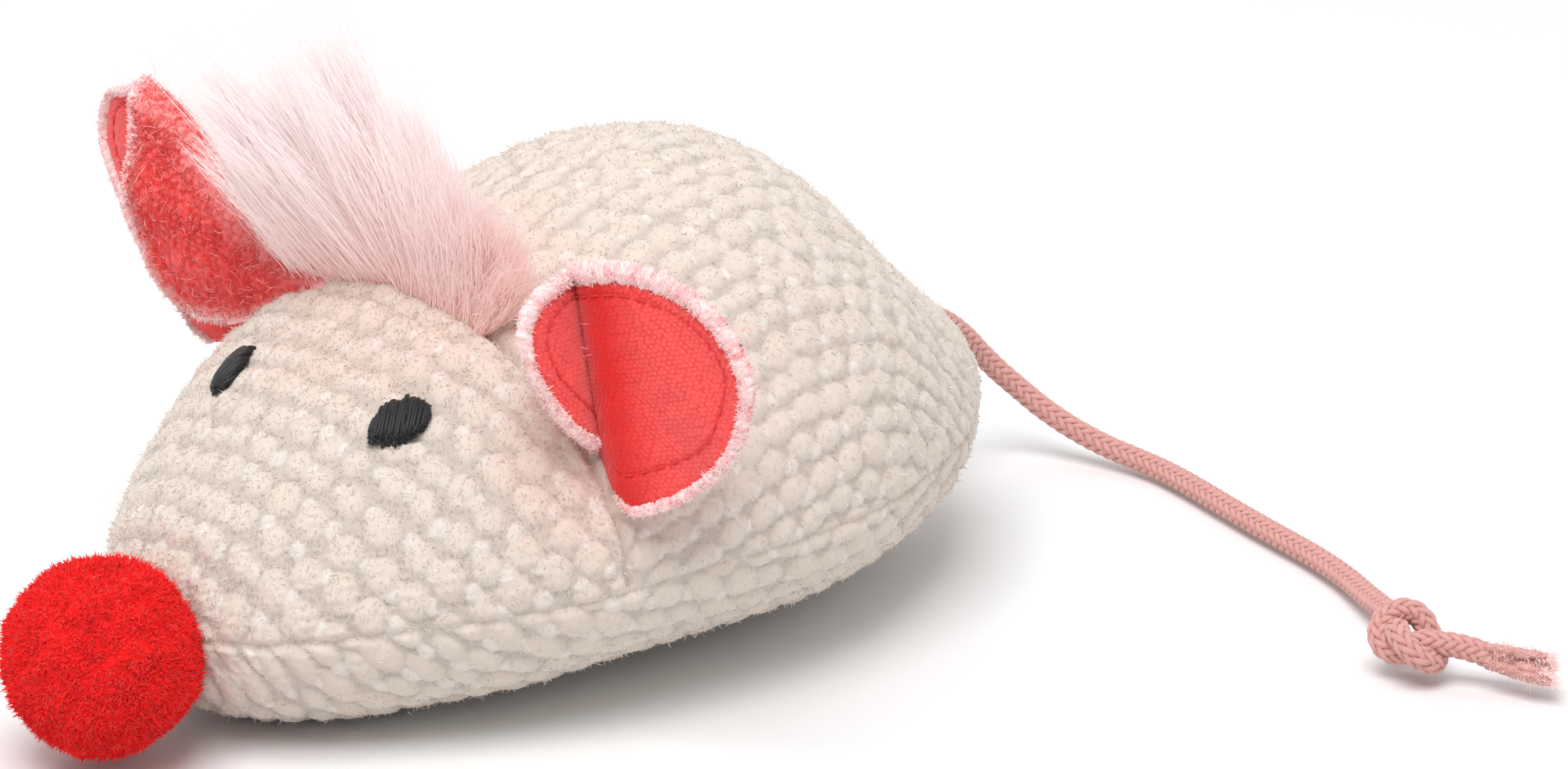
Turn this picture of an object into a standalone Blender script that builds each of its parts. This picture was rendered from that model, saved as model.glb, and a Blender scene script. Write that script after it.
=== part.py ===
"""Sewn plush mouse toy with a spring-driven pull-cord unit inside.

Frame: +Z up, the nose points to -X, the tail leaves at +X and the mouse's left is -Y.
The origin is on the floor, under the middle of the toy. Lengths are in millimetres
until they meet Blender, which takes metres.
"""
import math

import bmesh
import bpy
import numpy as np
from mathutils import Vector

MM = 0.001

# ---------------------------------------------------------------- body
# Stations along the body: x, half-width, belly height, height of the widest
# level, height of the back. Between stations the form is a smooth curve.
STATIONS = (
    (-48.4, 2.6, 11.4, 14.0, 16.6),
    (-47.0, 9.0, 7.5, 14.0, 20.0),
    (-42.5, 16.0, 2.5, 14.5, 25.5),
    (-34.5, 23.0, -0.4, 15.5, 31.3),
    (-25.0, 30.0, -0.8, 16.5, 37.2),
    (-14.0, 35.6, -0.8, 17.5, 43.3),
    (-2.0, 38.3, -0.8, 18.5, 47.0),
    (12.0, 39.9, -0.8, 18.5, 52.0),
    (26.0, 39.2, -0.8, 18.5, 54.4),
    (39.0, 35.0, -0.5, 18.5, 51.1),
    (50.0, 29.7, 1.0, 18.5, 41.0),
    (58.0, 23.7, 4.7, 19.0, 33.2),
    (63.0, 18.2, 10.5, 20.0, 29.2),
    (66.0, 10.1, 17.0, 21.5, 26.8),
    (66.9, 3.7, 18.3, 22.0, 25.7),
)
BACK_EXPONENT = 1.9         # superellipse exponent above the widest level
BELLY_EXPONENT = 1.92        # and below it
SKIN = 1.3                  # thickness of the knit
SEAM_GAP = 0.42             # each panel stops this far from the seam line
NOSE_OPENING_X = -48.4      # the panels start here, round the nose tie
TAIL_OPENING_X = 66.9       # and end here, round the cord guide
EAR_SEAM_X = -10.5          # the seam between head and back
FILL_INSET = 1.9            # the filling lies this far under the outer face
PANEL_ROWS = 14             # facets from seam to seam
HEAD_COLUMNS = 8
BACK_COLUMNS = 12

# ---------------------------------------------------------------- face
EYE_X = -24.8
EYE_ANGLE = math.radians(62)
EYE_HALF_LENGTH = 3.4
EYE_HALF_HEIGHT = 2.8
EYE_THICKNESS = 0.8
POMPOM_CENTRE = (-55.8, 0.0, 12.3)
POMPOM_RADIUS = 11.2
POMPOM_BACK_X = -49.6       # flattened here against the snout

# ---------------------------------------------------------------- ears
EAR_BASE_ANGLES = (math.radians(18), math.radians(61))
EAR_CLEARANCE = 1.3         # the ear stands this far off the skin
EAR_LINING = 0.9
EAR_FLEECE = 1.1
EAR_HALF_GAP = 0.2
EAR_SHOULDER = 12.0         # height at which the ear is widest
EAR_HEIGHT = 19.5           # height of the round part above the shoulder
EAR_HALF_WIDTH = 15.8
EAR_FLARE = 4.3             # how much narrower it is at the seam
EAR_LEAN = 0.18             # sideways lean of the middle line, per unit of height
EAR_CUP = 5.0               # how far the side edges curl forward

# ---------------------------------------------------------------- hair
# Sections of the tuft: centre x, centre y, height, half-depth, half-width.
HAIR_SECTIONS = (
    (-10.5, -1.0, 46.8, 4.0, 16.0),
    (-11.0, -1.0, 50.2, 6.5, 17.0),
    (-12.8, 2.0, 57.0, 7.5, 15.5),
    (-14.8, 6.0, 64.0, 6.5, 12.5),
    (-16.5, 7.5, 70.0, 4.0, 7.0),
    (-17.5, 8.0, 75.0, 1.2, 2.0),
)

# ---------------------------------------------------------------- pull-cord unit
UNIT_X = 19.0               # middle of the round housing
HOUSING_RADIUS = 25.0
HOUSING_WALL = 1.8
HOUSING_BOTTOM = 7.0
FLOOR_TOP = 9.0
WALL_TOP = 31.4
COVER_BOTTOM = 31.7
COVER_TOP = 33.5
SCREW_CIRCLE = 20.9
BOSS_RADIUS = 2.5
PILOT_RADIUS = 0.95
SHANK_RADIUS = 0.8
CORD_HEIGHT = 22.0
CORD_RADIUS = 1.5

DRUM_RADIUS = 9.5           # radius of the cord's middle line on the drum
DRUM_CORE = 7.8
DRUM_FLANGE = 12.2
DRUM_BOTTOM = 19.2
DRUM_TOP = 24.8
FLANGE_THICKNESS = 1.0
DRUM_AXLE_RADIUS = 1.5
ARBOR_RADIUS = 1.0
RUNNING_GAP = 0.08
SCREW_TOP = 35.0
SCREW_SEAT = 33.6
SCREW_END = 22.6
SCREW_HEAD_RADIUS = 1.9

SPRING_TURNS = 5
SPRING_STEPS = 14           # points on each turn
SPRING_INNER_RADIUS = 2.4
SPRING_OUTER_RADIUS = 11.0
SPRING_HALF_WIDTH = 2.3
SPRING_THICKNESS = 0.35
SPRING_MIDDLE = 13.7
WINDING_RADIUS = 1.4        # the turn of cord on the drum, a little under the free cord

WEIGHT_REACH = 10.5
WEIGHT_HUB = 3.0
WEIGHT_HALF_ANGLE = math.radians(80)

MODULE = 0.6
PRESSURE_ANGLE = math.radians(20)
ADDENDUM = 0.8
DEDENDUM = 1.15
BACKLASH = 0.08
DRUM_TEETH = 36
WHEEL_TEETH = 30
PINION_TEETH = 12

DRUM_CENTRE = Vector((UNIT_X, DRUM_RADIUS))
SECOND_ANGLE = math.radians(224)   # from the drum's axis to the second arbor
ROTOR_ANGLE = math.radians(-36)  # from the second arbor to the rotor's

# ---------------------------------------------------------------- tail
GUIDE_START = 56.5          # the bush that the cord runs through, along x
GUIDE_END = 64.1
GUIDE_BORE = 1.9
GUIDE_RADIUS = 2.9
GUIDE_FLANGE_RADIUS = 4.4
LEAD_START_X = UNIT_X + 8.2
TAIL_EXIT = (67.0, 0.0, CORD_HEIGHT)
# The cord's own points, from the exit to the knot.
TAIL_ROUTE = (
    TAIL_EXIT, (72, 0, 21.3), (76, 0, 19.4), (79.6, 0, 16.6), (82.4, -0.3, 13.6), (84.6, -1.3, 11),
    (86.5, -3.2, 8.6), (88, -6, 6.3), (89.5, -9.8, 4.2), (91, -14, 2.6), (91.9, -18.5, 1.8),
    (91.7, -23.2, 1.6), (90.4, -29, 1.6), (88.5, -35.8, 1.6), (86.6, -42.6, 1.6), (85, -49, 1.6),
    (83.3, -55.6, 1.6), (80.8, -62.4, 1.7), (77, -69.4, 2.2), (72.7, -76.3, 3.2), (69.4, -81.3, 4.1),
)
KNOT_CENTRE = (66.7, -84.9, 4.5)
KNOT_RADII = (4.4, 4.2, 4.2)
# The short end beyond the knot, with the frayed end's radius growing.
END_SECTIONS = (
    ((69.6, -88.9, 4.7), 1.5), ((70.7, -92.0, 3.9), 1.5), ((71.7, -95.0, 3.2), 1.6),
    ((72.7, -98.0, 2.8), 2.3), ((73.7, -101.0, 2.7), 2.4),
)


# ================================================================ helpers
def clear_scene():
    for item in list(bpy.data.objects):
        bpy.data.objects.remove(item, do_unlink=True)


def new_collection(name):
    made = bpy.data.collections.new(name)
    bpy.context.scene.collection.children.link(made)
    return made


def material(name, colour, roughness, metallic=0.0):
    made = bpy.data.materials.new(name)
    made.use_nodes = True
    shader = made.node_tree.nodes["Principled BSDF"]
    shader.inputs["Base Color"].default_value = (*colour, 1.0)
    shader.inputs["Roughness"].default_value = roughness
    shader.inputs["Metallic"].default_value = metallic
    return made


def add_object(name, data, surface, smooth=True):
    made = bpy.data.objects.new(name, data)
    parts.objects.link(made)
    if surface is not None:
        data.materials.append(surface)
    if smooth and isinstance(data, bpy.types.Mesh):
        data.shade_smooth()
        data.set_sharp_from_angle(angle=math.radians(35))
    return made


def grid_mesh(name, rows):
    """Quads through a grid of points in millimetres, rows[i][j]."""
    count = len(rows[0])
    vertices = [Vector(point) * MM for row in rows for point in row]
    faces = []
    for i in range(len(rows) - 1):
        for j in range(count - 1):
            first = i * count + j
            faces.append((first, first + 1, first + count + 1, first + count))
    mesh = bpy.data.meshes.new(name)
    mesh.from_pydata(vertices, [], faces)
    return mesh


def loft_mesh(name, rings):
    """A closed body through rings of points, with a fan of faces at each end."""
    count = len(rings[0])
    vertices = [Vector(point) * MM for ring in rings for point in ring]
    faces = []
    for i in range(len(rings) - 1):
        for j in range(count):
            following = (j + 1) % count
            first = i * count
            faces.append((first + j, first + following, first + count + following, first + count + j))
    for ring_index, flip in ((0, True), (len(rings) - 1, False)):
        middle = len(vertices)
        ring = rings[ring_index]
        vertices.append(Vector(np.mean(ring, axis=0)) * MM)
        start = ring_index * count
        for j in range(count):
            edge = (start + j, start + (j + 1) % count)
            faces.append((edge[1], edge[0], middle) if flip else (edge[0], edge[1], middle))
    mesh = bpy.data.meshes.new(name)
    mesh.from_pydata(vertices, [], faces)
    turn_outward(mesh)
    return mesh


def turn_outward(mesh):
    work = bmesh.new()
    work.from_mesh(mesh)
    bmesh.ops.recalc_face_normals(work, faces=work.faces)
    work.to_mesh(mesh)
    work.free()


def solidify(item, thickness, offset):
    shell = item.modifiers.new("thickness", "SOLIDIFY")
    shell.thickness = thickness * MM
    shell.offset = offset
    return shell


def turned(name, profile, surface, centre=(0, 0), steps=32, ring=False):
    """A turned body from (radius, height) points that run down its outer side."""
    vertices = [(radius * MM, 0, height * MM) for radius, height in profile]
    edges = [(i, i + 1) for i in range(len(profile) - 1)]
    if ring:
        edges.append((len(profile) - 1, 0))
    mesh = bpy.data.meshes.new(name)
    mesh.from_pydata(vertices, edges, [])
    made = add_object(name, mesh, surface, smooth=False)
    made.location = (centre[0] * MM, centre[1] * MM, 0)
    turn = made.modifiers.new("turn", "SCREW")
    turn.axis = "Z"
    turn.steps = steps
    turn.render_steps = steps
    turn.use_merge_vertices = True
    turn.merge_threshold = 0.00001
    turn.use_smooth_shade = False
    return made


def pin(name, radius, bottom, top, surface, centre, steps=24):
    return turned(name, ((0, top), (radius, top), (radius, bottom), (0, bottom)), surface, centre, steps)


def cutter(name, radius, bottom, top, centre, sides=24):
    """A round cutter standing along Z."""
    mesh = bpy.data.meshes.new(name)
    work = bmesh.new()
    bmesh.ops.create_cone(work, cap_ends=True, segments=sides, radius1=radius * MM,
                          radius2=radius * MM, depth=(top - bottom) * MM)
    work.to_mesh(mesh)
    work.free()
    made = bpy.data.objects.new(name, mesh)
    cutters.objects.link(made)
    made.location = (centre[0] * MM, centre[1] * MM, (bottom + top) / 2 * MM)
    made.hide_render = True
    made.display_type = "WIRE"
    return made


def boolean(item, other, operation="DIFFERENCE"):
    change = item.modifiers.new(other.name, "BOOLEAN")
    change.operation = operation
    change.object = other
    change.solver = "EXACT"


def curve_to_mesh(item, surface):
    """Replace a curve object by its welded mesh."""
    bpy.context.view_layer.update()
    graph = bpy.context.evaluated_depsgraph_get()
    mesh = bpy.data.meshes.new_from_object(item.evaluated_get(graph))
    work = bmesh.new()
    work.from_mesh(mesh)
    bmesh.ops.remove_doubles(work, verts=work.verts, dist=0.000002)
    bmesh.ops.recalc_face_normals(work, faces=work.faces)
    work.to_mesh(mesh)
    work.free()
    name = item.name
    matrix = item.matrix_world.copy()
    bpy.data.objects.remove(item)
    mesh.materials.clear()
    made = add_object(name, mesh, surface)
    made.name = name
    made.matrix_world = matrix
    return made


def flat_plate(name, outlines, bottom, top, surface, centre):
    """A plate with the first outline as its edge and the others as holes."""
    curve = bpy.data.curves.new(name, "CURVE")
    curve.dimensions = "2D"
    curve.fill_mode = "BOTH"
    curve.extrude = (top - bottom) / 2 * MM
    for outline in outlines:
        spline = curve.splines.new("POLY")
        spline.points.add(len(outline) - 1)
        for point, (x, y) in zip(spline.points, outline):
            point.co = (x * MM, y * MM, 0, 1)
        spline.use_cyclic_u = True
    made = bpy.data.objects.new(name, curve)
    parts.objects.link(made)
    made.location = (centre[0] * MM, centre[1] * MM, (bottom + top) / 2 * MM)
    return curve_to_mesh(made, surface)


def circle(radius, sides=24):
    return [(radius * math.cos(2 * math.pi * k / sides), radius * math.sin(2 * math.pi * k / sides))
            for k in range(sides)]


def catmull_rom(points, per_span):
    """Points on the smooth curve through the given points."""
    given = np.asarray(points, dtype=float)
    padded = np.vstack([2 * given[0] - given[1], given, 2 * given[-1] - given[-2]])
    t = (np.arange(per_span) / per_span)[:, None]
    spans = []
    for i in range(1, len(padded) - 2):
        a, b, c, d = padded[i - 1:i + 3]
        spans.append(0.5 * (2 * b + (c - a) * t + (2 * a - 5 * b + 4 * c - d) * t ** 2
                            + (3 * b - a - 3 * c + d) * t ** 3))
    return np.vstack(spans + [given[-1:]])


# ================================================================ body
FORM = catmull_rom(STATIONS, 60)


def skin_point(x, angle):
    """A point of the outer face at x. Angle 0 is the +Y seam and 90 degrees is the back."""
    half_width, belly, middle, back = (np.interp(x, FORM[:, 0], FORM[:, k]) for k in (1, 2, 3, 4))
    across, up = math.cos(angle), math.sin(angle)
    exponent = BACK_EXPONENT if up >= 0 else BELLY_EXPONENT
    y = half_width * math.copysign(abs(across) ** (2 / exponent), across)
    reach = back - middle if up >= 0 else middle - belly
    z = middle + reach * math.copysign(abs(up) ** (2 / exponent), up)
    return Vector((x, y, max(z, 0.0)))


def skin_normal(x, angle):
    step_x, step_angle = 0.05, 0.004
    along = skin_point(x + step_x, angle) - skin_point(x - step_x, angle)
    around = skin_point(x, angle + step_angle) - skin_point(x, angle - step_angle)
    return around.cross(along).normalized()


def columns(start, end, count):
    """Places along x, closer together where the form turns in at its ends."""
    places = np.interp([start, end], FORM[:, 0], np.arange(len(FORM)))
    return np.interp(np.linspace(places[0], places[1], count + 1), np.arange(len(FORM)), FORM[:, 0])


def panel(name, start, end, count, first_angle, last_angle, lift):
    """A panel of knit. Its two long edges stand off the seam line by lift."""
    rows = []
    for x in columns(start, end, count):
        row = [skin_point(x, a) for a in np.linspace(first_angle, last_angle, PANEL_ROWS + 1)]
        for edge in (0, -1):
            row[edge] = row[edge] + Vector((0, 0, lift))
        rows.append(row)
    made = add_object(name, grid_mesh(name, rows), knit)
    solidify(made, SKIN, -1)
    return made


def filling(name, start, end, count):
    """The fibre filling under the knit, between two places along the body."""
    rings = []
    for x in columns(start, end, count):
        ring = []
        for angle in np.linspace(0, 2 * math.pi, 2 * PANEL_ROWS, endpoint=False):
            ring.append(skin_point(x, angle) - skin_normal(x, angle) * FILL_INSET)
        rings.append(ring)
    return add_object(name, loft_mesh(name, rings), fibre)


def make_body():
    head_end = EAR_SEAM_X - 0.3
    back_start = EAR_SEAM_X + 0.3
    panel("head_panel", NOSE_OPENING_X, head_end, HEAD_COLUMNS, 0, math.pi, SEAM_GAP)
    panel("back_panel", back_start, TAIL_OPENING_X, BACK_COLUMNS, 0, math.pi, SEAM_GAP)
    panel("base_panel", NOSE_OPENING_X, TAIL_OPENING_X, HEAD_COLUMNS + BACK_COLUMNS, math.pi,
          2 * math.pi, -SEAM_GAP)
    filling("head_stuffing", NOSE_OPENING_X + 5, EAR_SEAM_X - 1.8, HEAD_COLUMNS)
    body = filling("body_stuffing", EAR_SEAM_X + 0.8, TAIL_OPENING_X - 4.5, BACK_COLUMNS)
    pocket = cutter("unit_pocket", HOUSING_RADIUS + 0.5, HOUSING_BOTTOM - 0.5, COVER_TOP + 1.5,
                    (UNIT_X, 0), 40)
    boolean(body, pocket)
    boolean(body, cord_way("filling_cord_way", 3.3, UNIT_X + 10, TAIL_OPENING_X + 10))


def cord_way(name, radius, start, end):
    """A round cutter along the inner lead of the cord."""
    way = cutter(name, radius, start, end, (0, 0), 16)
    way.rotation_euler = (0, math.pi / 2, 0)
    way.location = ((start + end) / 2 * MM, 0, CORD_HEIGHT * MM)
    return way


# ================================================================ face, ears, hair
def make_eye(name, side):
    rows = []
    angle_step = EYE_HALF_HEIGHT / 29.0
    for i in range(7):
        row = []
        v = -1 + i / 3
        for j in range(7):
            u = -1 + j / 3
            # squeeze the square grid to a disc
            reach = max(abs(u), abs(v)) / max(math.hypot(u, v), 1e-6) if (u or v) else 1.0
            x = EYE_X + u * reach * EYE_HALF_LENGTH
            angle = EYE_ANGLE + v * reach * angle_step
            point = skin_point(x, angle) + skin_normal(x, angle) * 0.35
            row.append(Vector((point.x, side * point.y, point.z)))
        rows.append(row)
    made = add_object(name, grid_mesh(name, rows), thread)
    solidify(made, EYE_THICKNESS, -side)
    return made


def make_nose():
    mesh = bpy.data.meshes.new("nose_pompom")
    work = bmesh.new()
    bmesh.ops.create_uvsphere(work, u_segments=20, v_segments=12, radius=POMPOM_RADIUS * MM)
    work.to_mesh(mesh)
    work.free()
    pompom = add_object("nose_pompom", mesh, yarn)
    pompom.location = Vector(POMPOM_CENTRE) * MM
    block = cutter("pompom_back", 14, 0, 10, (0, 0), 24)
    block.rotation_euler = (0, math.pi / 2, 0)
    block.location = ((POMPOM_BACK_X + 5) * MM, 0, POMPOM_CENTRE[2] * MM)
    boolean(pompom, block)
    profile = ((0, 5.0), (1.5, 4.6), (1.5, 3.4), (0.6, 3.0), (0.6, 0), (0, 0))
    tie = turned("nose_tie", profile, yarn, steps=12)
    tie.rotation_euler = (0, math.pi / 2, 0)
    tie.location = Vector((POMPOM_BACK_X + 0.3, 0, STATIONS[0][3])) * MM


def ear_frame(side):
    """The middle of the ear's seam and the directions along it and out of it."""
    low = skin_point(EAR_SEAM_X, EAR_BASE_ANGLES[0])
    high = skin_point(EAR_SEAM_X, EAR_BASE_ANGLES[1])
    along = (high - low).normalized()
    outward = Vector((0, along.z, -along.y))
    return (low + high) / 2, along, outward


def ear_base_height(share):
    """Height of the skin above the chord of the ear's seam, for share from -1 to 1."""
    middle, _, outward = ear_frame(1)
    low, high = EAR_BASE_ANGLES
    angle = low + (high - low) * (share + 1) / 2
    return (skin_point(EAR_SEAM_X, angle) - middle).dot(outward) + EAR_CLEARANCE


def make_ear_layer(name, side, front, thickness, surface):
    middle, along, outward = ear_frame(side)
    rows = []
    for i in range(8):
        s = i / 7
        row = []
        for j in range(13):
            t = -1 + j / 6
            top = EAR_SHOULDER + EAR_HEIGHT * (1 - abs(t) ** 2.4) ** (1 / 2.4)
            start = ear_base_height(t)
            v = start + (top - start) * s
            below = max(EAR_SHOULDER - v, 0) / EAR_SHOULDER
            u = t * (EAR_HALF_WIDTH - EAR_FLARE * below ** 2) - EAR_LEAN * v
            x = EAR_SEAM_X - EAR_CUP * t * t * min(v / EAR_SHOULDER, 1) + front * EAR_HALF_GAP
            point = middle + along * u + outward * v
            row.append(Vector((x, side * point.y, point.z)))
        rows.append(row)
    made = add_object(name, grid_mesh(name, rows), surface)
    solidify(made, thickness, -side * front)
    return made


def make_hair():
    rings = []
    for x, y, z, depth, width in HAIR_SECTIONS:
        rings.append([(x + depth * math.cos(a), y + width * math.sin(a), z)
                      for a in np.linspace(0, 2 * math.pi, 20, endpoint=False)])
    add_object("hair_tuft", loft_mesh("hair_tuft", rings), fur)


# ================================================================ tail
def spaced(points, step):
    """Points a step apart along a dense line."""
    line = np.asarray(points)
    lengths = np.concatenate([[0], np.cumsum(np.linalg.norm(np.diff(line, axis=0), axis=1))])
    places = np.linspace(0, lengths[-1], max(2, round(lengths[-1] / step) + 1))
    return np.stack([np.interp(places, lengths, line[:, k]) for k in range(3)], axis=1)


def make_tail():
    free = spaced(catmull_rom(TAIL_ROUTE, 12), 5)
    lead = spaced([(LEAD_START_X, 0, CORD_HEIGHT), TAIL_EXIT], 10)[:-1]
    points = np.vstack([lead, free])
    curve = bpy.data.curves.new("tail_cord", "CURVE")
    curve.dimensions = "3D"
    curve.bevel_depth = CORD_RADIUS * MM
    curve.bevel_resolution = 2
    curve.use_fill_caps = True
    spline = curve.splines.new("POLY")
    spline.points.add(len(points) - 1)
    for point, place in zip(spline.points, points):
        point.co = (*(place * MM), 1)
    cord = bpy.data.objects.new("tail_cord", curve)
    parts.objects.link(cord)
    knot_place = Vector(KNOT_CENTRE) * MM
    cord = curve_to_mesh(cord, braid)
    clearance = ball("knot_room", KNOT_CENTRE, [radius + 0.3 for radius in KNOT_RADII])
    clearance.hide_render = True
    clearance.display_type = "WIRE"
    cutters.objects.link(clearance)
    boolean(cord, clearance)

    knot = ball("tail_knot", (0, 0, 0), KNOT_RADII)
    knot.location = knot_place
    parts.objects.link(knot)
    knot.data.materials.append(braid)

    rings = []
    centres = [Vector(section[0]) for section in END_SECTIONS]
    for index, (centre, radius) in enumerate(END_SECTIONS):
        before = centres[max(index - 1, 0)]
        after = centres[min(index + 1, len(centres) - 1)]
        along = (after - before).normalized()
        across = along.cross(Vector((0, 0, 1))).normalized()
        upward = across.cross(along)
        flat = 1.0 if radius < 2 else 0.8
        rings.append([Vector(centre) + (across * math.cos(a) + upward * math.sin(a) * flat) * radius
                      for a in np.linspace(0, 2 * math.pi, 12, endpoint=False)])
    add_object("tail_end", loft_mesh("tail_end", rings), braid)

    profile = ((GUIDE_FLANGE_RADIUS, GUIDE_END), (GUIDE_FLANGE_RADIUS, GUIDE_END - 1.0),
               (GUIDE_RADIUS, GUIDE_END - 1.2), (GUIDE_RADIUS, GUIDE_START), (GUIDE_BORE, GUIDE_START),
               (GUIDE_BORE, GUIDE_END))
    guide = turned("cord_guide", profile, moulding, steps=24, ring=True)
    guide.rotation_euler = (0, math.pi / 2, 0)
    guide.location = (0, 0, CORD_HEIGHT * MM)


def ball(name, centre, radii):
    mesh = bpy.data.meshes.new(name)
    work = bmesh.new()
    bmesh.ops.create_uvsphere(work, u_segments=16, v_segments=10, radius=1.0)
    for vertex in work.verts:
        vertex.co = Vector([c * r for c, r in zip(vertex.co, radii)]) * MM
    work.to_mesh(mesh)
    work.free()
    made = bpy.data.objects.new(name, mesh)
    made.location = Vector(centre) * MM
    return made


# ================================================================ unit
def gear_outline(teeth, phase):
    """An involute spur gear's outline with one tooth's middle at the angle phase."""
    pitch = MODULE * teeth / 2
    base = pitch * math.cos(PRESSURE_ANGLE)
    tip = pitch + ADDENDUM * MODULE
    root = pitch - DEDENDUM * MODULE
    half_tooth = (math.pi * MODULE / 2 - BACKLASH) / 2 / pitch

    def involute(radius):
        pressure = math.acos(min(base / radius, 1.0))
        return math.tan(pressure) - pressure

    def half_angle(radius):
        return half_tooth + involute(pitch) - involute(max(radius, base))

    flank = (root, pitch, tip)
    outline = []
    for tooth in range(teeth):
        middle = phase + 2 * math.pi * tooth / teeth
        for radius in flank:
            angle = middle - half_angle(radius)
            outline.append((radius * math.cos(angle), radius * math.sin(angle)))
        for radius in reversed(flank):
            angle = middle + half_angle(radius)
            outline.append((radius * math.cos(angle), radius * math.sin(angle)))
    return outline


def make_gear(name, teeth, phase, bore, bottom, top, centre):
    outlines = [gear_outline(teeth, phase), circle(bore)]
    return flat_plate(name, outlines, bottom, top, gear_plastic, centre)


def polar(angle, radius):
    return Vector((math.cos(angle), math.sin(angle))) * radius


def make_housing(sockets):
    inner = HOUSING_RADIUS - HOUSING_WALL
    base = turned("housing_base", ((0, FLOOR_TOP), (inner, FLOOR_TOP), (inner, WALL_TOP),
                                   (HOUSING_RADIUS, WALL_TOP), (HOUSING_RADIUS, HOUSING_BOTTOM),
                                   (0, HOUSING_BOTTOM)), housing_plastic, (UNIT_X, 0), 40)
    cover = turned("housing_cover", ((0, COVER_TOP), (HOUSING_RADIUS - 0.6, COVER_TOP),
                                     (HOUSING_RADIUS, COVER_TOP - 0.6), (HOUSING_RADIUS, COVER_BOTTOM),
                                     (0, COVER_BOTTOM)), cover_plastic, (UNIT_X, 0), 40)
    for half in (base, cover):
        half.rotation_euler.z = math.radians(2.3)
    places = [Vector((UNIT_X, 0)) + polar(math.radians(45 + 90 * k), SCREW_CIRCLE) for k in range(4)]
    for number, place in enumerate(places, 1):
        boolean(base, cutter(f"boss_{number}", BOSS_RADIUS, FLOOR_TOP - 1, WALL_TOP, place, 20), "UNION")
    for number, place in enumerate(places, 1):
        boolean(base, cutter(f"pilot_{number}", PILOT_RADIUS, SCREW_END - 0.6, WALL_TOP + 1, place, 16))
        boolean(cover, cutter(f"screw_way_{number}", 1.2, COVER_BOTTOM - 1, COVER_TOP + 1, place, 16))
        turned(f"housing_screw_{number}",
               ((0, SCREW_TOP), (SCREW_HEAD_RADIUS - 0.6, SCREW_TOP), (SCREW_HEAD_RADIUS, SCREW_TOP - 0.6),
                (SCREW_HEAD_RADIUS, SCREW_SEAT), (SHANK_RADIUS, SCREW_SEAT), (SHANK_RADIUS, SCREW_END + 0.4),
                (0, SCREW_END)), steel, place, 16)
    for name, place, radius in sockets:
        boolean(base, cutter(f"{name}_foot", radius, FLOOR_TOP - 1.3, FLOOR_TOP + 1, place, 20))
        boolean(cover, cutter(f"{name}_head", radius, COVER_BOTTOM - 1, COVER_BOTTOM + 1.2, place, 20))
    boolean(base, cord_way("housing_cord_way", 2.1, UNIT_X + 15, UNIT_X + 30))


def make_drum():
    centre = DRUM_CENTRE
    pin("drum_axle", DRUM_AXLE_RADIUS, FLOOR_TOP - 1.2, COVER_BOTTOM + 1.0, steel, centre)
    bore = DRUM_AXLE_RADIUS + RUNNING_GAP
    upper = DRUM_TOP - FLANGE_THICKNESS
    lower = DRUM_BOTTOM + FLANGE_THICKNESS
    profile = ((DRUM_FLANGE, DRUM_TOP), (DRUM_FLANGE, upper), (DRUM_CORE, upper), (DRUM_CORE, lower),
               (DRUM_FLANGE, lower), (DRUM_FLANGE, DRUM_BOTTOM), (bore, DRUM_BOTTOM), (bore, DRUM_TOP))
    turned("cord_drum", profile, drum_plastic, centre, 32, ring=True)
    make_gear("drum_gear", DRUM_TEETH, SECOND_ANGLE, bore, 16.7, 18.9, centre)

    ring = [(DRUM_RADIUS + 0.15 + WINDING_RADIUS * math.cos(a), CORD_HEIGHT + WINDING_RADIUS * math.sin(a))
            for a in np.linspace(0, -2 * math.pi, 8, endpoint=False)]
    turned("cord_winding", ring, braid, centre, 32, ring=True)

    curve = bpy.data.curves.new("mainspring", "CURVE")
    curve.dimensions = "3D"
    curve.extrude = SPRING_HALF_WIDTH * MM
    spline = curve.splines.new("POLY")
    spline.points.add(SPRING_TURNS * SPRING_STEPS)
    for k, point in enumerate(spline.points):
        angle = 2 * math.pi * k / SPRING_STEPS
        share = k / (SPRING_TURNS * SPRING_STEPS)
        radius = SPRING_INNER_RADIUS + (SPRING_OUTER_RADIUS - SPRING_INNER_RADIUS) * share
        point.co = (radius * math.cos(angle) * MM, radius * math.sin(angle) * MM, 0, 1)
    spring = bpy.data.objects.new("mainspring", curve)
    parts.objects.link(spring)
    spring.location = (centre.x * MM, centre.y * MM, SPRING_MIDDLE * MM)
    spring = curve_to_mesh(spring, spring_steel)
    solidify(spring, SPRING_THICKNESS, 0)


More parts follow.
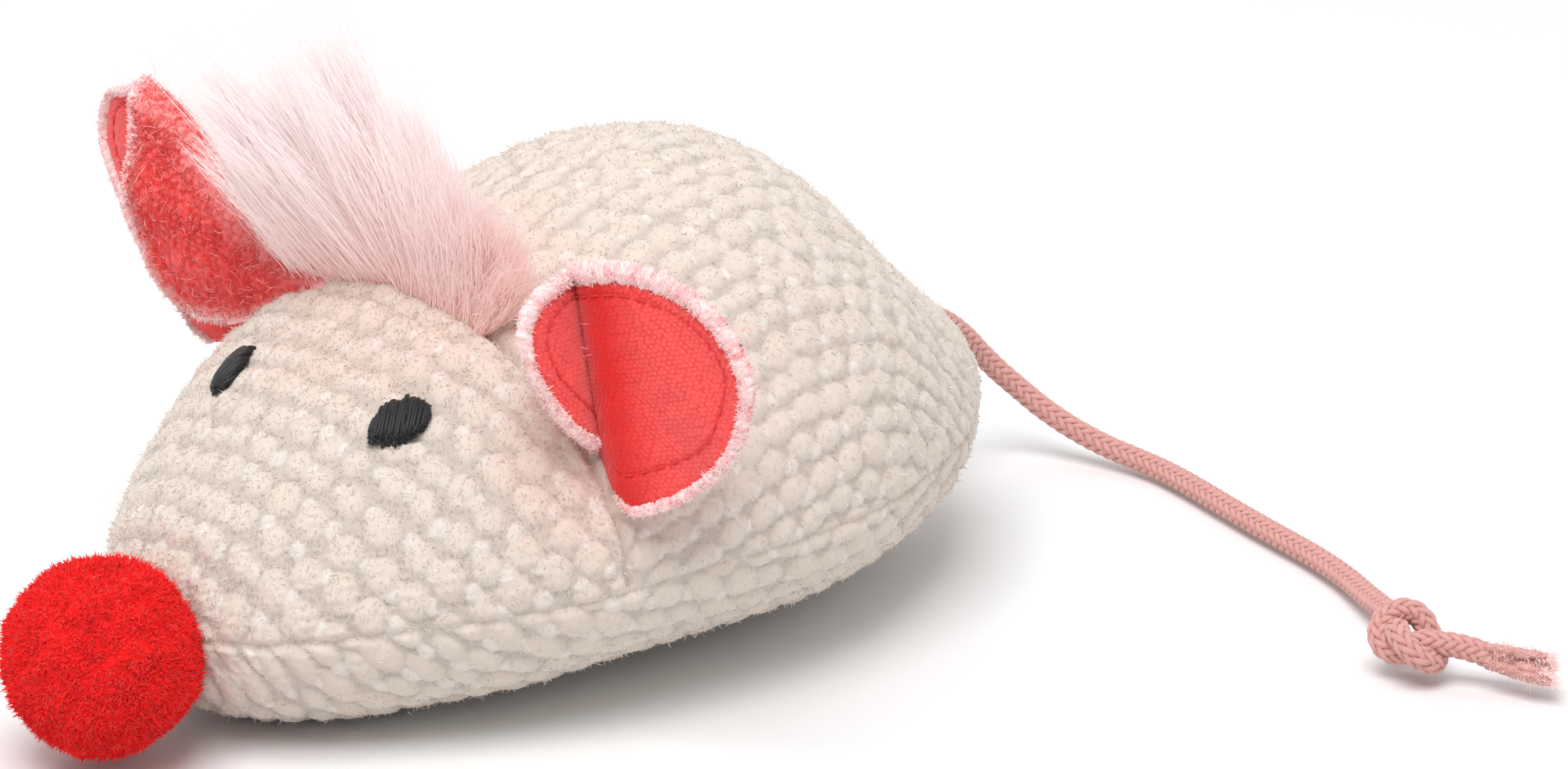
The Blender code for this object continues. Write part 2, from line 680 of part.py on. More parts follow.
def make_train(second, rotor):
    mesh_back = SECOND_ANGLE + math.pi
    half_pinion = math.pi / PINION_TEETH
    bore = ARBOR_RADIUS + 0.05
    pin("second_axle", ARBOR_RADIUS, FLOOR_TOP - 1.2, COVER_BOTTOM + 1.0, steel, second)
    make_gear("second_pinion", PINION_TEETH, mesh_back + half_pinion, bore, 16.4, 19.1, second)
    make_gear("second_wheel", WHEEL_TEETH, ROTOR_ANGLE, bore, 25.3, 27.0, second)
    pin("rotor_axle", ARBOR_RADIUS, FLOOR_TOP - 1.2, COVER_BOTTOM + 1.0, steel, rotor)
    make_gear("rotor_pinion", PINION_TEETH, ROTOR_ANGLE + math.pi + half_pinion, bore, 25.0, 27.3, rotor)
    sector = WEIGHT_HALF_ANGLE
    outline = [(WEIGHT_REACH * math.cos(a), WEIGHT_REACH * math.sin(a))
               for a in np.linspace(-sector, sector, 17)]
    outline += [(WEIGHT_HUB * math.cos(a), WEIGHT_HUB * math.sin(a))
                for a in np.linspace(sector + 0.2, 2 * math.pi - sector - 0.2, 11)]
    flat_plate("eccentric_weight", [outline, circle(bore)], 27.7, 30.7, brass, rotor)


def make_unit():
    second = DRUM_CENTRE + polar(SECOND_ANGLE, MODULE * (DRUM_TEETH + PINION_TEETH) / 2)
    rotor = second + polar(ROTOR_ANGLE, MODULE * (WHEEL_TEETH + PINION_TEETH) / 2)
    make_housing((("drum_socket", DRUM_CENTRE, DRUM_AXLE_RADIUS + RUNNING_GAP),
                  ("second_socket", second, ARBOR_RADIUS + RUNNING_GAP),
                  ("rotor_socket", rotor, ARBOR_RADIUS + RUNNING_GAP)))
    make_drum()
    make_train(second, rotor)


clear_scene()
parts = new_collection("clockwork_mouse")
cutters = new_collection("cutters")
knit = material("cream_knit", (0.80, 0.73, 0.65), 0.95)
coral = material("coral_twill", (0.90, 0.22, 0.20), 0.9)
fleece = material("pink_fleece", (0.95, 0.72, 0.70), 0.98)
fur = material("pale_pink_fur", (0.95, 0.86, 0.85), 0.9)
thread = material("black_thread", (0.02, 0.02, 0.022), 0.6)
yarn = material("red_yarn", (0.80, 0.05, 0.05), 0.95)
braid = material("pink_braid", (0.90, 0.58, 0.56), 0.9)
fibre = material("white_fibre", (0.92, 0.92, 0.90), 1.0)
moulding = material("white_nylon", (0.90, 0.90, 0.88), 0.5)
housing_plastic = material("grey_plastic", (0.30, 0.31, 0.33), 0.5)
cover_plastic = material("clear_grey_plastic", (0.45, 0.46, 0.48), 0.45)
gear_plastic = material("cream_acetal", (0.88, 0.85, 0.76), 0.45)
drum_plastic = material("black_acetal", (0.05, 0.05, 0.055), 0.45)
steel = material("bright_steel", (0.62, 0.62, 0.63), 0.3, 1.0)
spring_steel = material("blued_spring_steel", (0.20, 0.22, 0.27), 0.35, 1.0)
brass = material("brass", (0.78, 0.58, 0.27), 0.35, 1.0)

make_body()
make_eye("left_eye", -1)
make_eye("right_eye", 1)
make_nose()
for word, side in (("left", -1), ("right", 1)):
    make_ear_layer(f"{word}_ear_lining", side, -1, EAR_LINING, coral)
    make_ear_layer(f"{word}_ear_back", side, 1, EAR_FLEECE, fleece)
make_hair()
make_tail()
make_unit()
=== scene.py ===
"""The looks of the plush mouse: knit, fur, yarn, cloth ears and braided tail.

Lengths are in millimetres until they meet Blender. The nose points to -X, the tail
leaves at +X, and the mouse's left side, nearest the camera, is -Y.
"""
import math

import bpy
import numpy as np
from mathutils import Matrix, Vector


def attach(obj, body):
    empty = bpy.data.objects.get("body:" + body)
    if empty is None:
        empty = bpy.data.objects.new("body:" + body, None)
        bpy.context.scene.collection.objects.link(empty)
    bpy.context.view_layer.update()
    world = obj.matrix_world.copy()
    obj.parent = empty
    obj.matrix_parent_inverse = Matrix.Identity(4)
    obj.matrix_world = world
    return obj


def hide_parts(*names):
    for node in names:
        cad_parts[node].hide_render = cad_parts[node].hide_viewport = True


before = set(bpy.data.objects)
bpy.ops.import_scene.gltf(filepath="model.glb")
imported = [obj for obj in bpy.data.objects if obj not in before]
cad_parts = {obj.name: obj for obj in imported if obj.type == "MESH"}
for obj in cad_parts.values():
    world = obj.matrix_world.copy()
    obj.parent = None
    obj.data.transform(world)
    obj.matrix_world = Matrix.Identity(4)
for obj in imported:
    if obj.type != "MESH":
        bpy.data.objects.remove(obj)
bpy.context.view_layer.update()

MM = 0.001
PICTURE_WIDTH = 2000

# ---------------------------------------------------------------- the toy's form
# Stations: x, half-width, belly, widest level and back, as in the CAD model.
STATIONS = (
    (-48.4, 2.6, 11.4, 14.0, 16.6),
    (-47.0, 9.0, 7.5, 14.0, 20.0),
    (-42.5, 16.0, 2.5, 14.5, 25.5),
    (-34.5, 23.0, -0.4, 15.5, 31.3),
    (-25.0, 30.0, -0.8, 16.5, 37.2),
    (-14.0, 35.6, -0.8, 17.5, 43.3),
    (-2.0, 38.3, -0.8, 18.5, 47.0),
    (12.0, 39.9, -0.8, 18.5, 52.0),
    (26.0, 39.2, -0.8, 18.5, 54.4),
    (39.0, 35.0, -0.5, 18.5, 51.1),
    (50.0, 29.7, 1.0, 18.5, 41.0),
    (58.0, 23.7, 4.7, 19.0, 33.2),
    (63.0, 18.2, 10.5, 20.0, 29.2),
    (66.0, 10.1, 17.0, 21.5, 26.8),
    (66.9, 3.7, 18.3, 22.0, 25.7),
)
BACK_EXPONENT = 1.9
BELLY_EXPONENT = 1.92
NOSE_X = STATIONS[0][0]
TAIL_X = STATIONS[-1][0]
EAR_SEAM_X = -10.5

# ---------------------------------------------------------------- camera
CAMERA_AZIMUTH = math.radians(-44)
CAMERA_ELEVATION = math.radians(20)
CAMERA_TARGET = (48.5, 0.0, 17.8)
CAMERA_DISTANCE = 700.0
PIXELS_PER_MM = 10.5
SENSOR_WIDTH = 36.0


# ================================================================ helpers
def smoothstep(low, high, value):
    t = np.clip((value - low) / (high - low), 0, 1)
    return t * t * (3 - 2 * t)


def unit(vectors):
    vectors = np.asarray(vectors, float)
    return vectors / np.maximum(np.linalg.norm(vectors, axis=-1, keepdims=True), 1e-9)


def new_piece(name, points, faces, surface, body, tone=None):
    """A mesh piece from points in millimetres. tone holds four numbers a point."""
    mesh = bpy.data.meshes.new(name)
    points = np.asarray(points, float).reshape(-1, 3) * MM
    faces = np.asarray(faces, np.int64)
    mesh.vertices.add(len(points))
    mesh.vertices.foreach_set("co", points.ravel())
    mesh.loops.add(faces.size)
    mesh.loops.foreach_set("vertex_index", faces.ravel())
    mesh.polygons.add(len(faces))
    mesh.polygons.foreach_set("loop_start", np.arange(len(faces)) * faces.shape[1])
    mesh.polygons.foreach_set("use_smooth", np.ones(len(faces), bool))
    mesh.update(calc_edges=True)
    if tone is not None:
        layer = mesh.color_attributes.new(name="tone", type="FLOAT_COLOR", domain="POINT")
        layer.data.foreach_set("color", np.asarray(tone, float).reshape(-1, 4).ravel())
    mesh.materials.append(surface)
    made = bpy.data.objects.new(name, mesh)
    bpy.context.scene.collection.objects.link(made)
    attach(made, body)
    return made


def tones(height, white=0.0, pink=0.0, chance=0.0):
    """The four numbers of each point's tone, as Nodes.source reads them. On most pieces the height is
    painted shade: low in gaps, seams, folds and at fibre roots, high on tops and tips.
    """
    return np.stack(np.broadcast_arrays(height, white, pink, chance), axis=-1)


def grid_faces(rows, columns, wrap=False):
    """Quads of a grid of rows by columns points. wrap joins the last column to the first."""
    i = np.arange(rows - 1)[:, None]
    j = np.arange(columns if wrap else columns - 1)[None, :]
    following = (j + 1) % columns
    quads = np.stack([i * columns + j, i * columns + following,
                      (i + 1) * columns + following, (i + 1) * columns + j], axis=-1)
    return quads.reshape(-1, 4)


def catmull_rom(points, per_span):
    given = np.asarray(points, dtype=float)
    padded = np.vstack([2 * given[0] - given[1], given, 2 * given[-1] - given[-2]])
    t = (np.arange(per_span) / per_span)[:, None]
    spans = []
    for i in range(1, len(padded) - 2):
        a, b, c, d = padded[i - 1:i + 3]
        spans.append(0.5 * (2 * b + (c - a) * t + (2 * a - 5 * b + 4 * c - d) * t ** 2
                            + (3 * b - a - 3 * c + d) * t ** 3))
    return np.vstack(spans + [given[-1:]])


def arc_lengths(points, axis=0):
    steps = np.linalg.norm(np.diff(points, axis=axis), axis=-1)
    start = np.zeros_like(np.take(steps, [0], axis=axis))
    return np.concatenate([start, np.cumsum(steps, axis=axis)], axis=axis)


def resample(line, step):
    """Points about a step apart along a line."""
    lengths = arc_lengths(line)
    places = np.linspace(0, lengths[-1], max(2, int(round(lengths[-1] / step)) + 1))
    return np.stack([np.interp(places, lengths, line[:, k]) for k in range(3)], axis=1)


def fibre_lines(root, aim, bend, reach, places):
    """Lines of fibres from their roots along their aims, each bent more toward its tip."""
    t = np.asarray(places)[None, :, None]
    return root[:, None] + aim[:, None] * t * reach + bend * t ** 2 * reach


def hashed(*keys):
    """A repeatable number from 0 to 1 for whole-number keys."""
    total = np.zeros(np.broadcast(*keys).shape)
    for weight, key in zip((12.9898, 78.233, 37.719), keys):
        total = total + weight * key
    value = np.sin(total) * 43758.5453
    return value - np.floor(value)


# ================================================================ materials
class Nodes:
    """A small helper that adds and links the nodes of one material."""

    def __init__(self, name):
        self.material = bpy.data.materials.new(name)
        self.material.use_nodes = True
        self.tree = self.material.node_tree
        self.shader = self.tree.nodes["Principled BSDF"]
        self.sources = {}

    def add(self, kind, **settings):
        node = self.tree.nodes.new(kind)
        for key, value in settings.items():
            if key in node.inputs.keys():
                node.inputs[key].default_value = value
            else:
                setattr(node, key, value)
        return node

    def link(self, out, into):
        self.tree.links.new(out, into)

    def set(self, **values):
        for key, value in values.items():
            self.shader.inputs[key.replace("_", " ")].default_value = value

    def noise(self, scale, detail=4.0, stretch=None):
        noise = self.add("ShaderNodeTexNoise", Scale=scale, Detail=detail)
        coordinates = self.add("ShaderNodeTexCoord")
        if stretch is None:
            self.link(coordinates.outputs["Object"], noise.inputs["Vector"])
        else:
            mapping = self.add("ShaderNodeMapping", Scale=stretch)
            self.link(coordinates.outputs["Object"], mapping.inputs["Vector"])
            self.link(mapping.outputs["Vector"], noise.inputs["Vector"])
        return noise.outputs["Fac"]

    def ramp(self, source, stops):
        ramp = self.add("ShaderNodeValToRGB")
        elements = ramp.color_ramp.elements
        while len(elements) < len(stops):
            elements.new(0.5)
        for element, (place, colour) in zip(elements, stops):
            element.position = place
            element.color = (*colour, 1.0)
        self.link(source, ramp.inputs["Fac"])
        return ramp.outputs["Color"]

    def source(self, what):
        """A tone of the piece by its name, or a noise by its scale, detail and stretch."""
        if what not in self.sources:
            if isinstance(what, str):
                attribute = self.add("ShaderNodeAttribute", attribute_name="tone")
                split = self.add("ShaderNodeSeparateColor")
                self.link(attribute.outputs["Color"], split.inputs["Color"])
                self.sources.update(height=split.outputs["Red"], white=split.outputs["Green"],
                                    pink=split.outputs["Blue"], chance=attribute.outputs["Alpha"])
            else:
                self.sources[what] = self.noise(*what)
        return self.sources[what]

    def mix(self, factor, first, second):
        """Display colour second laid over first, a display colour or a socket."""
        mix = self.add("ShaderNodeMix", data_type="RGBA")
        self.link(factor, mix.inputs[0])
        if isinstance(first, bpy.types.NodeSocket):
            self.link(first, mix.inputs[6])
        else:
            mix.inputs[6].default_value = (*linear(*first), 1.0)
        mix.inputs[7].default_value = (*linear(*second), 1.0)
        return mix.outputs[2]

    def share(self, socket, amount):
        node = self.add("ShaderNodeMath", operation="MULTIPLY")
        self.link(socket, node.inputs[0])
        node.inputs[1].default_value = amount
        return node.outputs[0]

    def rough(self, socket, low, high):
        """Roughness that wanders from low to high with a noise."""
        ramp = self.ramp(socket, ((0.3, (low,) * 3), (0.7, (high,) * 3)))
        self.link(ramp, self.shader.inputs["Roughness"])

    def bump(self, height, strength, distance):
        bump = self.add("ShaderNodeBump", Strength=strength, Distance=distance * MM)
        self.link(height, bump.inputs["Height"])
        self.link(bump.outputs["Normal"], self.shader.inputs["Normal"])

    def let_through(self, socket, share):
        """Fine fibres pass on part of the light that falls behind them."""
        thin = self.add("ShaderNodeBsdfTranslucent")
        self.link(socket, thin.inputs["Color"])
        both = self.add("ShaderNodeMixShader", Fac=share)
        self.link(self.shader.outputs[0], both.inputs[1])
        self.link(thin.outputs[0], both.inputs[2])
        self.link(both.outputs[0], self.tree.nodes["Material Output"].inputs["Surface"])

    def colour(self, socket):
        self.link(socket, self.shader.inputs["Base Color"])


def linear(red, green, blue):
    """Linear light for a display colour."""
    return tuple(c / 12.92 if c <= 0.04045 else ((c + 0.055) / 1.055) ** 2.4 for c in (red, green, blue))


def soft_material(name, stops, tints=(), finish=(0.9, 0.3, 0.5, 0.2), over="height", bump=None, painted_glow=None,
                  thin=0.0):
    """Cloth, yarn or fibre.

    stops are display colours up the source that over says, and tints are (source, share, colour),
    where a share may also be the stops of a mask. finish is roughness, sheen, sheen roughness and
    specular level, bump is (source, strength, distance), painted_glow is painted light, an emission
    of (linear colour, strength) on a part that is no lamp, and thin is the share of light that passes
    through.
    """
    m = Nodes(name)
    body = m.ramp(m.source(over), [(place, linear(*colour)) for place, colour in stops])
    for what, share, colour in tints:
        if isinstance(share, tuple):
            mask = m.ramp(m.source(what), [(place, (value,) * 3) for place, value in share])
        else:
            mask = m.share(m.source(what), share)
        body = m.mix(mask, body, colour)
    m.colour(body)
    roughness, sheen, sheen_roughness, specular = finish
    m.set(Roughness=roughness, Sheen_Weight=sheen, Sheen_Roughness=sheen_roughness,
          Specular_IOR_Level=specular)
    if painted_glow:
        m.set(Emission_Color=(*painted_glow[0], 1), Emission_Strength=painted_glow[1])
    if bump:
        m.bump(m.source(bump[0]), *bump[1:])
    if thin:
        m.let_through(body, thin)
    return m.material


# Noises: scale, detail and, where the grain has a direction, its stretch.
KNIT_FIBRES = (2600, 5, (1, 1, 0.35))
YARN_CLUMPS = (160, 3)
THREAD_TWIST = (1500, 4, (1, 1, 3))
TWILL_GRAIN = (2400, 5)
PATCHES = (420, 4)
PILE_GRAIN = (1800, 5)
PILE_STREAKS = (500, 3)
BRAID_FIBRES = (2600, 4)
FILLING_STRANDS = (260, 6, (1, 0.35, 1.6))
WINDING_WEAVE = (1300, 3, (1, 1, 2))
TIE_TWIST = (1700, 3, (3, 1, 1))

# Painted shade: the cream knit is darker where its tone is low, in the gaps between the loops and in the
# seams, and lighter on the loops' tops.
knit = soft_material(
    "cream_knit", ((0.0, (0.79, 0.745, 0.705)), (0.3, (0.85, 0.805, 0.765)), (1.0, (0.885, 0.84, 0.795))),
    (("chance", 0.35, (0.88, 0.81, 0.75)), ("white", 0.75, (0.95, 0.94, 0.925)),
     ("pink", 0.5, (0.93, 0.70, 0.66)), (KNIT_FIBRES, 0.2, (0.80, 0.73, 0.66))),
    (0.93, 0.35, 0.5, 0.2), bump=(KNIT_FIBRES, 0.6, 0.18))
# Dense red pile with painted shade: dark between the tufts and at the roots, lighter and softer at the tips.
red_yarn = soft_material(
    "red_yarn", ((0.0, (0.80, 0.00, 0.01)), (0.5, (0.96, 0.02, 0.03)), (1.0, (1.0, 0.10, 0.10))),
    (("chance", 0.4, (0.95, 0.02, 0.04)), (YARN_CLUMPS, 0.25, (1.0, 0.16, 0.14))), (0.8, 0.3, 0.5, 0.25))
# Black satin-stitch thread with the grain of its twist.
black_thread = soft_material(
    "black_thread", ((0.3, (0.03, 0.03, 0.03)), (0.7, (0.12, 0.12, 0.125))), (), (0.5, 0.2, 0.4, 0.4),
    over=THREAD_TWIST, bump=(THREAD_TWIST, 0.5, 0.1))
# Brushed coral twill. Painted shade: darker in the gaps between the nubs, in the stitch groove and toward
# the folds;
# a faint red emission over the whole cloth is painted light that lifts its shade.
coral_cloth = soft_material(
    "coral_twill", ((0.0, (0.80, 0.05, 0.05)), (0.40, (0.87, 0.27, 0.27)), (1.0, (0.93, 0.42, 0.40))),
    (("chance", 0.25, (0.98, 0.28, 0.25)), ("white", 0.7, (1.0, 0.55, 0.50)),
     (TWILL_GRAIN, 0.22, (0.86, 0.13, 0.14))),
    bump=(TWILL_GRAIN, 0.5, 0.12), painted_glow=((1.0, 0.02, 0.02), 0.06))
# The fleece back of an ear and its loose fibres. Painted shade: darker between the clumps, deep in the far
# ear's fold and at the fibres' roots.
coral_pile = soft_material(
    "coral_pile", ((0.0, (0.78, 0.08, 0.09)), (0.55, (0.93, 0.26, 0.25)), (1.0, (1.00, 0.46, 0.43))),
    (("white", 0.85, (0.99, 0.86, 0.85)), (PATCHES, 0.35, (1.00, 0.46, 0.43))),
    (0.9, 0.4, 0.5, 0.2), bump=(PILE_GRAIN, 0.5, 0.2))
# The frayed pale edge of the ears, with pinker streaks.
pale_pile = soft_material(
    "pale_pile", ((0.0, (0.95, 0.55, 0.55)), (0.5, (0.98, 0.80, 0.79)), (1.0, (1.0, 0.92, 0.91))),
    ((PILE_STREAKS, ((0.52, 0.0), (0.68, 0.55)), (0.98, 0.60, 0.60)),),
    (0.9, 0.4, 0.5, 0.2), bump=(PILE_GRAIN, 0.5, 0.2))
# Long pale fibres, pinker at the root and near white at the tip; a faint emission is painted light for the
# light scattered between the fibres.
pale_fur = soft_material(
    "pale_fur", ((0.0, (0.99, 0.88, 0.86)), (0.30, (0.995, 0.93, 0.92)), (0.65, (1.0, 0.965, 0.96)),
                 (1.0, (1.0, 0.985, 0.985))),
    (("pink", 0.7, (0.99, 0.88, 0.86)), ("chance", 0.2, (0.99, 0.94, 0.935))), (0.6, 0.3, 0.4, 0.3),
    painted_glow=((1.0, 0.72, 0.70), 0.075), thin=0.3)
# Pink cotton braid with painted shade: the tone is highest where a strand comes over the others and on its
# outer face, lowest where it passes under.
pink_braid = soft_material(
    "pink_braid", ((0.0, (0.68, 0.40, 0.37)), (0.5, (0.80, 0.56, 0.53)), (1.0, (0.86, 0.66, 0.63))),
    (("chance", 0.25, (0.80, 0.55, 0.52)), (BRAID_FIBRES, 0.25, (0.77, 0.50, 0.48))),
    (0.85, 0.35, 0.5, 0.2), bump=(BRAID_FIBRES, 0.5, 0.1))
deep_thread = soft_material(
    "deep_thread", ((0.0, (0.86, 0.22, 0.25)), (1.0, (0.92, 0.30, 0.32))),
    (("chance", 0.3, (0.86, 0.22, 0.25)),), (0.8, 0.3, 0.4, 0.25))


# ================================================================ the knit body
FORM = catmull_rom(STATIONS, 60)


def skin_points(x, angle):
    """Points of the outer face. Angle 0 is the +Y seam and 90 degrees is the back."""
    half_width, belly, middle, back = (np.interp(x, FORM[:, 0], FORM[:, k]) for k in (1, 2, 3, 4))
    across, up = np.cos(angle), np.sin(angle)
    exponent = np.where(up >= 0, BACK_EXPONENT, BELLY_EXPONENT)
    y = half_width * np.sign(across) * np.abs(across) ** (2 / exponent)
    reach = np.where(up >= 0, back - middle, middle - belly)
    z = middle + reach * np.sign(up) * np.abs(up) ** (2 / exponent)
    return np.stack([x + 0 * y, y, np.maximum(z, 0.0)], axis=-1)


def skin_normals(x, angle):
    along = skin_points(x + 0.05, angle) - skin_points(x - 0.05, angle)
    around = skin_points(x, angle + 0.004) - skin_points(x, angle - 0.004)
    return unit(np.cross(around, along))


def even_angles(x, start, end, count):
    """Angles that cut a section from start to end into equal lengths, one row for each x."""
    fine = np.linspace(start, end, 361)
    rows = []
    for place in x:
        lengths = arc_lengths(skin_points(np.full_like(fine, place), fine))
        rows.append(np.interp(np.linspace(0, lengths[-1], count), lengths, fine))
    return np.array(rows)


def even_columns(start, end, step):
    """Places along x about a step apart as measured over the back."""
    fine = np.linspace(start, end, 1500)
    over = (arc_lengths(skin_points(fine, np.full_like(fine, math.pi / 2)))
            + arc_lengths(skin_points(fine, np.full_like(fine, 0.0)))) / 2
    count = int(round(over[-1] / step)) + 1
    return np.interp(np.linspace(0, over[-1], count), over, fine)


def blobs(u, v, pitch_u, pitch_v, half_u, half_v, shift_u, shift_v, jitter, seed):
    """Height from 0 to 1 of a staggered field of rounded loops, and each loop's own chance."""
    height = np.zeros_like(u)
    chance = np.zeros_like(u)
    row = np.floor(v / pitch_v)
    for row_step in (-1, 0, 1):
        cell_v = row + row_step
        stagger = (np.mod(cell_v, 2)) * 0.5
        column = np.floor(u / pitch_u - stagger)
        for column_step in (-1, 0, 1):
            cell_u = column + column_step
            first = hashed(cell_u + seed, cell_v)
            second = hashed(cell_v + 5 * seed, cell_u)
            third = hashed(cell_u * 3 + 1, cell_v + 2 * seed)
            centre_u = (cell_u + 0.5 + stagger + shift_u + (first - 0.5) * jitter) * pitch_u
            centre_v = (cell_v + 0.5 + shift_v + (second - 0.5) * jitter) * pitch_v
            size = 0.86 + 0.28 * third
            du = (u - centre_u) / (half_u * size)
            dv = (v - centre_v) / (half_v * size)
            du = du + (second - 0.5) * 0.3 * dv
            distance = np.sqrt(du ** 2 + dv ** 2)
            bump = np.clip(1 - distance ** 2, 0, 1) ** 0.6 * (0.8 + 0.2 * second)
            higher = bump > height
            height = np.where(higher, bump, height)
            chance = np.where(higher, third, chance)
    return height, chance


def waves(points, sizes, seed):
    """A smooth wandering value about -1 to 1, for slow unevenness."""
    source = np.random.default_rng(seed)
    total = np.zeros(points.shape[:-1])
    for size in sizes:
        for _ in range(4):
            direction = unit(source.normal(size=3))
            total = total + np.sin(points @ direction * 2 * math.pi / size + source.uniform(0, 6.28))
    return total / (4 * len(sizes)) * 1.6


KNIT_STEP = 0.36
LOOP_HEIGHT = 0.62
SIDE_SEAM_DEPTH = 0.4
EAR_SEAM_DEPTH = 1.1
FUZZ_REACH = 0.65
CONE_TIP = 6.0              # the snout's cone would come to a point this far before the panel starts
# Pitches, then the half-sizes, shifts, jitter and seed of the loops and of the white tufts between them.
HEAD_LOOPS = ((4.4, 4.2), (1.85, 2.00, 0, 0, 0.20, 3), (1.10, 1.20, 0.5, 0.1, 0.4, 9))
BACK_LOOPS = ((4.7, 3.8), (2.30, 1.85, 0, 0, 0.18, 3), (1.25, 1.00, 0.5, 0.2, 0.4, 9))
EAR_FOOT = (31.0, 33.0)     # how far out and up the ears are sewn on
CREST_HEIGHT = 44.0


def knit_panel(name, node, start, end, first_angle, last_angle, across, fuzz, step=KNIT_STEP):
    """A stuffed panel with the knit's loops as real relief.

    across turns the knit's rows to run round the body instead of along it.
    """
    x = even_columns(start, end, step)
    widest = skin_points(np.full(200, 12.0 if end > 12 else end), np.linspace(first_angle, last_angle, 200))
    count = int(arc_lengths(widest)[-1] / step)
    angle = even_angles(x, first_angle, last_angle, count)
    places = np.repeat(x[:, None], count, axis=1)
    points = skin_points(places, angle)
    normals = skin_normals(places, angle)

    u = arc_lengths(points, axis=0)
    middle = count // 2
    v = arc_lengths(points, axis=1)
    v = v - v[:, middle:middle + 1]
    slow = waves(points, (14, 26), 3)
    slower = waves(points, (35, 60), 5)
    if across:
        # The snout is nearly a cone, so the rows are laid out as on its flat pattern.
        reach = u + CONE_TIP
        turned = v / reach
        u_flat, v_flat = reach * np.cos(turned), reach * np.sin(turned)
        place = (v_flat + slow * 0.4, u_flat + 0.4 * slower)
    else:
        place = (u + 0.6 * slower, v + slow * 0.5)
    pitches, loops, tufts = HEAD_LOOPS if across else BACK_LOOPS
    main, chance = blobs(*place, *pitches, *loops)
    tuft, _ = blobs(*place, *pitches, *tufts)
    tuft = tuft * 0.72
    height = np.maximum(main, tuft)
    bright = smoothstep(0.45, 0.9, hashed(np.floor(chance * 37)))
    white = smoothstep(0.02, 0.3, tuft - main) * (0.35 + 0.65 * bright)

    side_dive = 1 - smoothstep(0, 1.0, np.minimum(np.abs(v - v[:, :1]), np.abs(v - v[:, -1:])))
    end_dive = np.zeros_like(u)
    for distance, is_seam in ((u, start > NOSE_X + 1), (u[-1:] - u, end < TAIL_X - 1)):
        if is_seam:
            end_dive = 1 - smoothstep(0, 1.2, distance)
    dive = np.maximum(side_dive, end_dive)
    sunk = np.maximum(side_dive ** 1.5 * SIDE_SEAM_DEPTH, end_dive ** 1.5 * EAR_SEAM_DEPTH * (1 - side_dive))
    relief = (height - 0.45) * LOOP_HEIGHT * (1 - dive) + slow * 0.22 - sunk
    relief = relief + 0.17 * waves(points, (0.8, 1.1, 1.7), 8) * (1 - dive)
    points = points + normals * relief[..., None]
    points[..., 2] = np.maximum(points[..., 2], 0.0)

    left, right, crest = (np.linalg.norm(points - np.array([EAR_SEAM_X, *place]), axis=-1)
                          for place in ((-EAR_FOOT[0], EAR_FOOT[1]), EAR_FOOT, (0, CREST_HEIGHT)))
    ear = np.minimum(left, right)
    pink = np.maximum(0.55 * (1 - smoothstep(4, 16, ear)), 0.35 * (1 - smoothstep(12, 24, crest)))
    # Painted shade: the tone falls between the loops, a little along the side seams and most in the ear
    # seam's groove.
    painted_gap_shade = np.clip(height * (1 - 0.4 * side_dive) * (1 - 0.95 * end_dive * (1 - side_dive)), 0, 1)
    tone = tones(painted_gap_shade, white, pink, chance)
    made = new_piece(name, points, grid_faces(len(x), count), knit, "shell", tone)
    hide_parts(node)

    source = np.random.default_rng(len(name))
    grid_points, grid_normals, grid_tone = (a.reshape(-1, a.shape[-1]) for a in (points, normals, tone))
    cell = np.abs(np.gradient(u, axis=0) * np.gradient(v, axis=1)).ravel()
    pick = source.choice(len(cell), int(cell.sum() * fuzz), p=cell / cell.sum())
    total = len(pick)
    aim = unit(grid_normals[pick] * 0.35 + source.normal(size=(total, 3)) * 0.75)
    reach = (source.uniform(0.35, 1.0, total) * FUZZ_REACH)[:, None, None]
    bend = source.normal(size=(total, 1, 3)) * 0.3
    root = grid_points[pick] - grid_normals[pick] * 0.08 + source.normal(size=(total, 3)) * 0.12
    lines = fibre_lines(root, aim, bend, reach, (0.0, 0.55, 1.0))
    lines[..., 2] = np.maximum(lines[..., 2], 0.02)
    # Painted shade: each fuzz fibre is darker at its root and takes on the painted gap shade of the knit
    # where it grows.
    heights = grid_tone[pick, 0][:, None] * 0.75 + np.array([0.05, 0.15, 0.25])
    whites = grid_tone[pick, 1][:, None] * 0.7 + source.random((total, 1)) ** 3 * 0.9
    pinks = grid_tone[pick, 2][:, None] * np.ones(3)
    fibres = ribbons(name + "_fuzz", lines, (0.10, 0.09, 0.03), heights, knit, "shell", len(name) + 1,
                     white=np.clip(whites, 0, 1) * np.ones(3), pink=pinks)


# ================================================================ fibres and threads
def ribbons(name, lines, widths, heights, surface, body, seed, white=0.0, pink=0.0):
    """Flat fibres. lines is (fibre, point, 3), widths and heights one number for each point."""
    source = np.random.default_rng(seed)
    count, steps, _ = lines.shape
    along = unit(np.gradient(lines, axis=1))
    side = unit(np.cross(along, source.normal(size=(count, 1, 3))))
    half = (np.broadcast_to(widths, (count, steps)) / 2)[..., None]
    points = np.stack([lines - side * half, lines + side * half], axis=2)
    index = np.arange(count * steps * 2).reshape(count, steps, 2)
    faces = np.stack([index[:, :-1, 0], index[:, :-1, 1], index[:, 1:, 1], index[:, 1:, 0]], axis=-1)
    chance = source.random((count, 1)) * np.ones((count, steps))
    tone = np.repeat(tones(heights, white, pink, chance)[:, :, None], 2, axis=2)
    return new_piece(name, points, faces.reshape(-1, 4), surface, body, tone)


